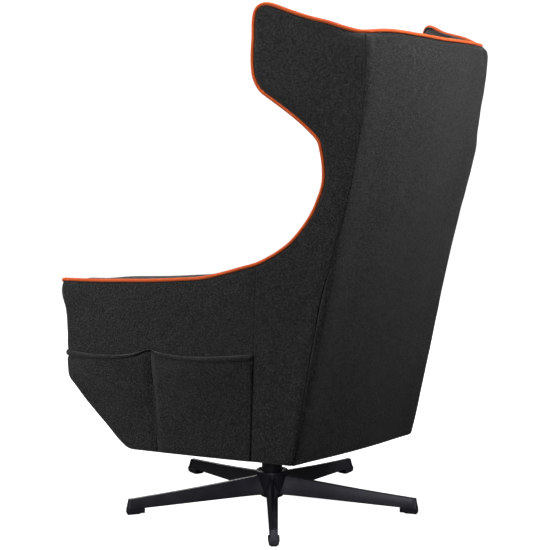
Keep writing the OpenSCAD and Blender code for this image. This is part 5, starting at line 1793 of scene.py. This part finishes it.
class CHAIR_OT_linings(bpy.types.Operator):
    """Make the dust cover, the deck cloth, the webbing and the foam rolls"""

    bl_idname = "chair.linings"
    bl_label = "Linings and rolls"
    nailed = {"dust_cover": ["side_rail_left", "side_rail_right"], "seat_deck": ["webbing_straps"]}

    def execute(self, context):
        for node, name, slot in (("dust_cover", "underside_cloth", "black_cloth"),
                                 ("seat_deck", "deck_cloth", "black_cloth"),
                                 ("seat_webbing", "webbing_straps", "black_cloth"),
                                 ("front_roll", "front_foam_roll", "foam")):
            obj = part_copy(node, name)
            cloth_piece(obj, (node,), slot)
            shade_smooth(obj, 35)
            if slot == "foam":
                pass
            elif node in self.nailed:
                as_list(self.nailed[node])
        return {"FINISHED"}


# Studio


class CHAIR_OT_studio(bpy.types.Operator):
    """Make the pale floor, the soft lights and the camera"""

    bl_idname = "chair.studio"
    bl_label = "Studio"
    eye = (2.15022, 1.96644, 0.81613)
    heading = math.radians(132.4439 - 0.1255)
    pitch = math.radians(5.4283)
    roll = math.radians(0.0851)
    lens = 82.08
    backdrop, ambient = 1.15, 0.055
    low_pieces = ("cast_star", "lift_tube", "guide_bush", "piston_rod", "lift_cylinder")
    # name, place, target, size, power, spread, colour, pieces that it lights
    lamps = (
        ("key_light", (-0.3, 1.35, 1.7), (0, 0.35, 0.99), (1.0, 0.5), 4.1, 58, None, "all"),
        ("front_light", (-1.6, -2.6, 2.4), (0, 0, 0.6), (2.2, 1.8), 60, 180, None, "all"),
        ("side_light", (2.5, -1.1, 1.15), (0.2, 0, 0.5), (1.6, 1.4), 50, 180, None, "upper"),
        ("top_light", (0.8, 0.1, 2.6), (0.2, 0, 0.8), (1.6, 1.2), 22, 180, None, "upper"),
        ("base_light", (1.9, 1.5, 0.85), (0, 0, 0.05), (0.5, 0.25), 15, 180,
         (0.88, 0.89, 1.0), "base"))

    def stand(self, name, data):
        """A new object for a lamp or a camera."""
        obj = bpy.data.objects.new(name, data)
        bpy.context.scene.collection.objects.link(obj)
        return obj

    def camera(self):
        data = bpy.data.cameras.new("photo_camera")
        data.lens, data.sensor_width = self.lens, 36.0
        data.clip_end = 100
        cam = self.stand("photo_camera", data)
        cam.matrix_world = (
            Matrix.Translation(self.eye) @ Matrix.Rotation(self.heading, 4, "Z")
            @ Matrix.Rotation(math.pi / 2 - self.pitch, 4, "X")
            @ Matrix.Rotation(self.roll, 4, "Z"))
        bpy.context.scene.camera = cam

    def light(self, name, place, target, size, power, spread, tint):
        data = bpy.data.lights.new(name, "AREA")
        data.shape = "RECTANGLE"
        data.size, data.size_y = size
        data.energy, data.spread = power, math.radians(spread)
        if tint:
            data.color = tint
        obj = self.stand(name, data)
        obj.location = place
        obj.rotation_euler = (Vector(target) - Vector(place)).to_track_quat("-Z", "Y").to_euler()
        return obj

    def floor(self, tint):
        bm = bmesh.new()
        bmesh.ops.create_circle(bm, cap_ends=True, segments=96, radius=40)
        bmesh.ops.translate(bm, vec=(0, 0, -0.0005), verts=bm.verts)
        obj = piece_from(bm, "studio_floor")
        n = NodeTree("Pale studio floor")
        tone = n.ramp(n.noise(3.0, 3.0), (0.3, shade(tint, 0.985)), (0.7, tint))
        seen = n.add("LightPath").outputs["Is Camera Ray"]
        obj.data.materials.append(n.finish(
            n.blend(seen, rgba(shade(tint, 0.12)), tone), 0.9, Specular_IOR_Level=0.0,
            Emission_Color=(1, 1, 1, 1), Emission_Strength=n.math("MULTIPLY", seen, 0.97)))

    def world(self):
        """White to the camera, and much dimmer to everything that it lights."""
        world = bpy.data.worlds.new("soft white")
        world.use_nodes = True
        nodes, links = world.node_tree.nodes, world.node_tree.links
        nodes.clear()
        both = nodes.new("ShaderNodeMixShader")
        for socket, strength in ((1, self.ambient), (2, self.backdrop)):
            light = nodes.new("ShaderNodeBackground")
            light.inputs["Color"].default_value = (1, 1, 1, 1)
            light.inputs["Strength"].default_value = strength
            links.new(light.outputs[0], both.inputs[socket])
        path = nodes.new("ShaderNodeLightPath")
        links.new(path.outputs["Is Camera Ray"], both.inputs[0])
        links.new(both.outputs[0], nodes.new("ShaderNodeOutputWorld").inputs["Surface"])
        bpy.context.scene.world = world

    def execute(self, context):
        context.scene.view_settings.view_transform = "Standard"
        self.camera()
        self.world()
        self.floor(tuple(context.scene.finishes.floor))
        lights = [(self.light(*row), group) for *row, group in self.lamps]
        lit = {}
        for group in ("upper", "base"):
            lit[group] = bpy.data.collections.new(f"{group}_pieces")
        for obj in context.scene.objects:
            low = obj.name in self.low_pieces or obj.name.startswith("tip_shoe")
            lit["base" if low else "upper"].objects.link(obj)
        for lamp, group in lights:
            if group in lit:
                lamp.light_linking.receiver_collection = lit[group]
        return {"FINISHED"}


# Panel and registration

PROPERTY_GROUPS = {"shell_sizes": ShellSizes, "trim_sizes": TrimSizes, "finishes": Finishes}
OPERATORS = (
    CHAIR_OT_materials, CHAIR_OT_boards, CHAIR_OT_side_covers, CHAIR_OT_back_cover,
    CHAIR_OT_apron, CHAIR_OT_side_pads, CHAIR_OT_seat_cushion, CHAIR_OT_back_cushion,
    CHAIR_OT_arm_facings, CHAIR_OT_pockets, CHAIR_OT_piping, CHAIR_OT_base,
    CHAIR_OT_tilt_spring, CHAIR_OT_linings, CHAIR_OT_studio)


class CHAIR_PT_panel(bpy.types.Panel):
    """Lists the chair's pieces in the 3D view's sidebar"""

    bl_idname = "CHAIR_PT_panel"
    bl_label = "Wing chair"
    bl_space_type = "VIEW_3D"
    bl_region_type = "UI"
    bl_category = "Chair"

    def draw(self, context):
        for operator in OPERATORS:
            self.layout.operator(operator.bl_idname)


CLASSES = (*PROPERTY_GROUPS.values(), *OPERATORS, CHAIR_PT_panel)


def register():
    for cls in CLASSES:
        bpy.utils.register_class(cls)
    for name, group in PROPERTY_GROUPS.items():
        setattr(bpy.types.Scene, name, PointerProperty(type=group))


def unregister():
    for name in PROPERTY_GROUPS:
        delattr(bpy.types.Scene, name)
    for cls in reversed(CLASSES):
        bpy.utils.unregister_class(cls)


def main():
    register()
    for operator in OPERATORS:
        group, name = operator.bl_idname.split(".")
        getattr(getattr(bpy.ops, group), name)()


if __name__ == "__main__":
    main()
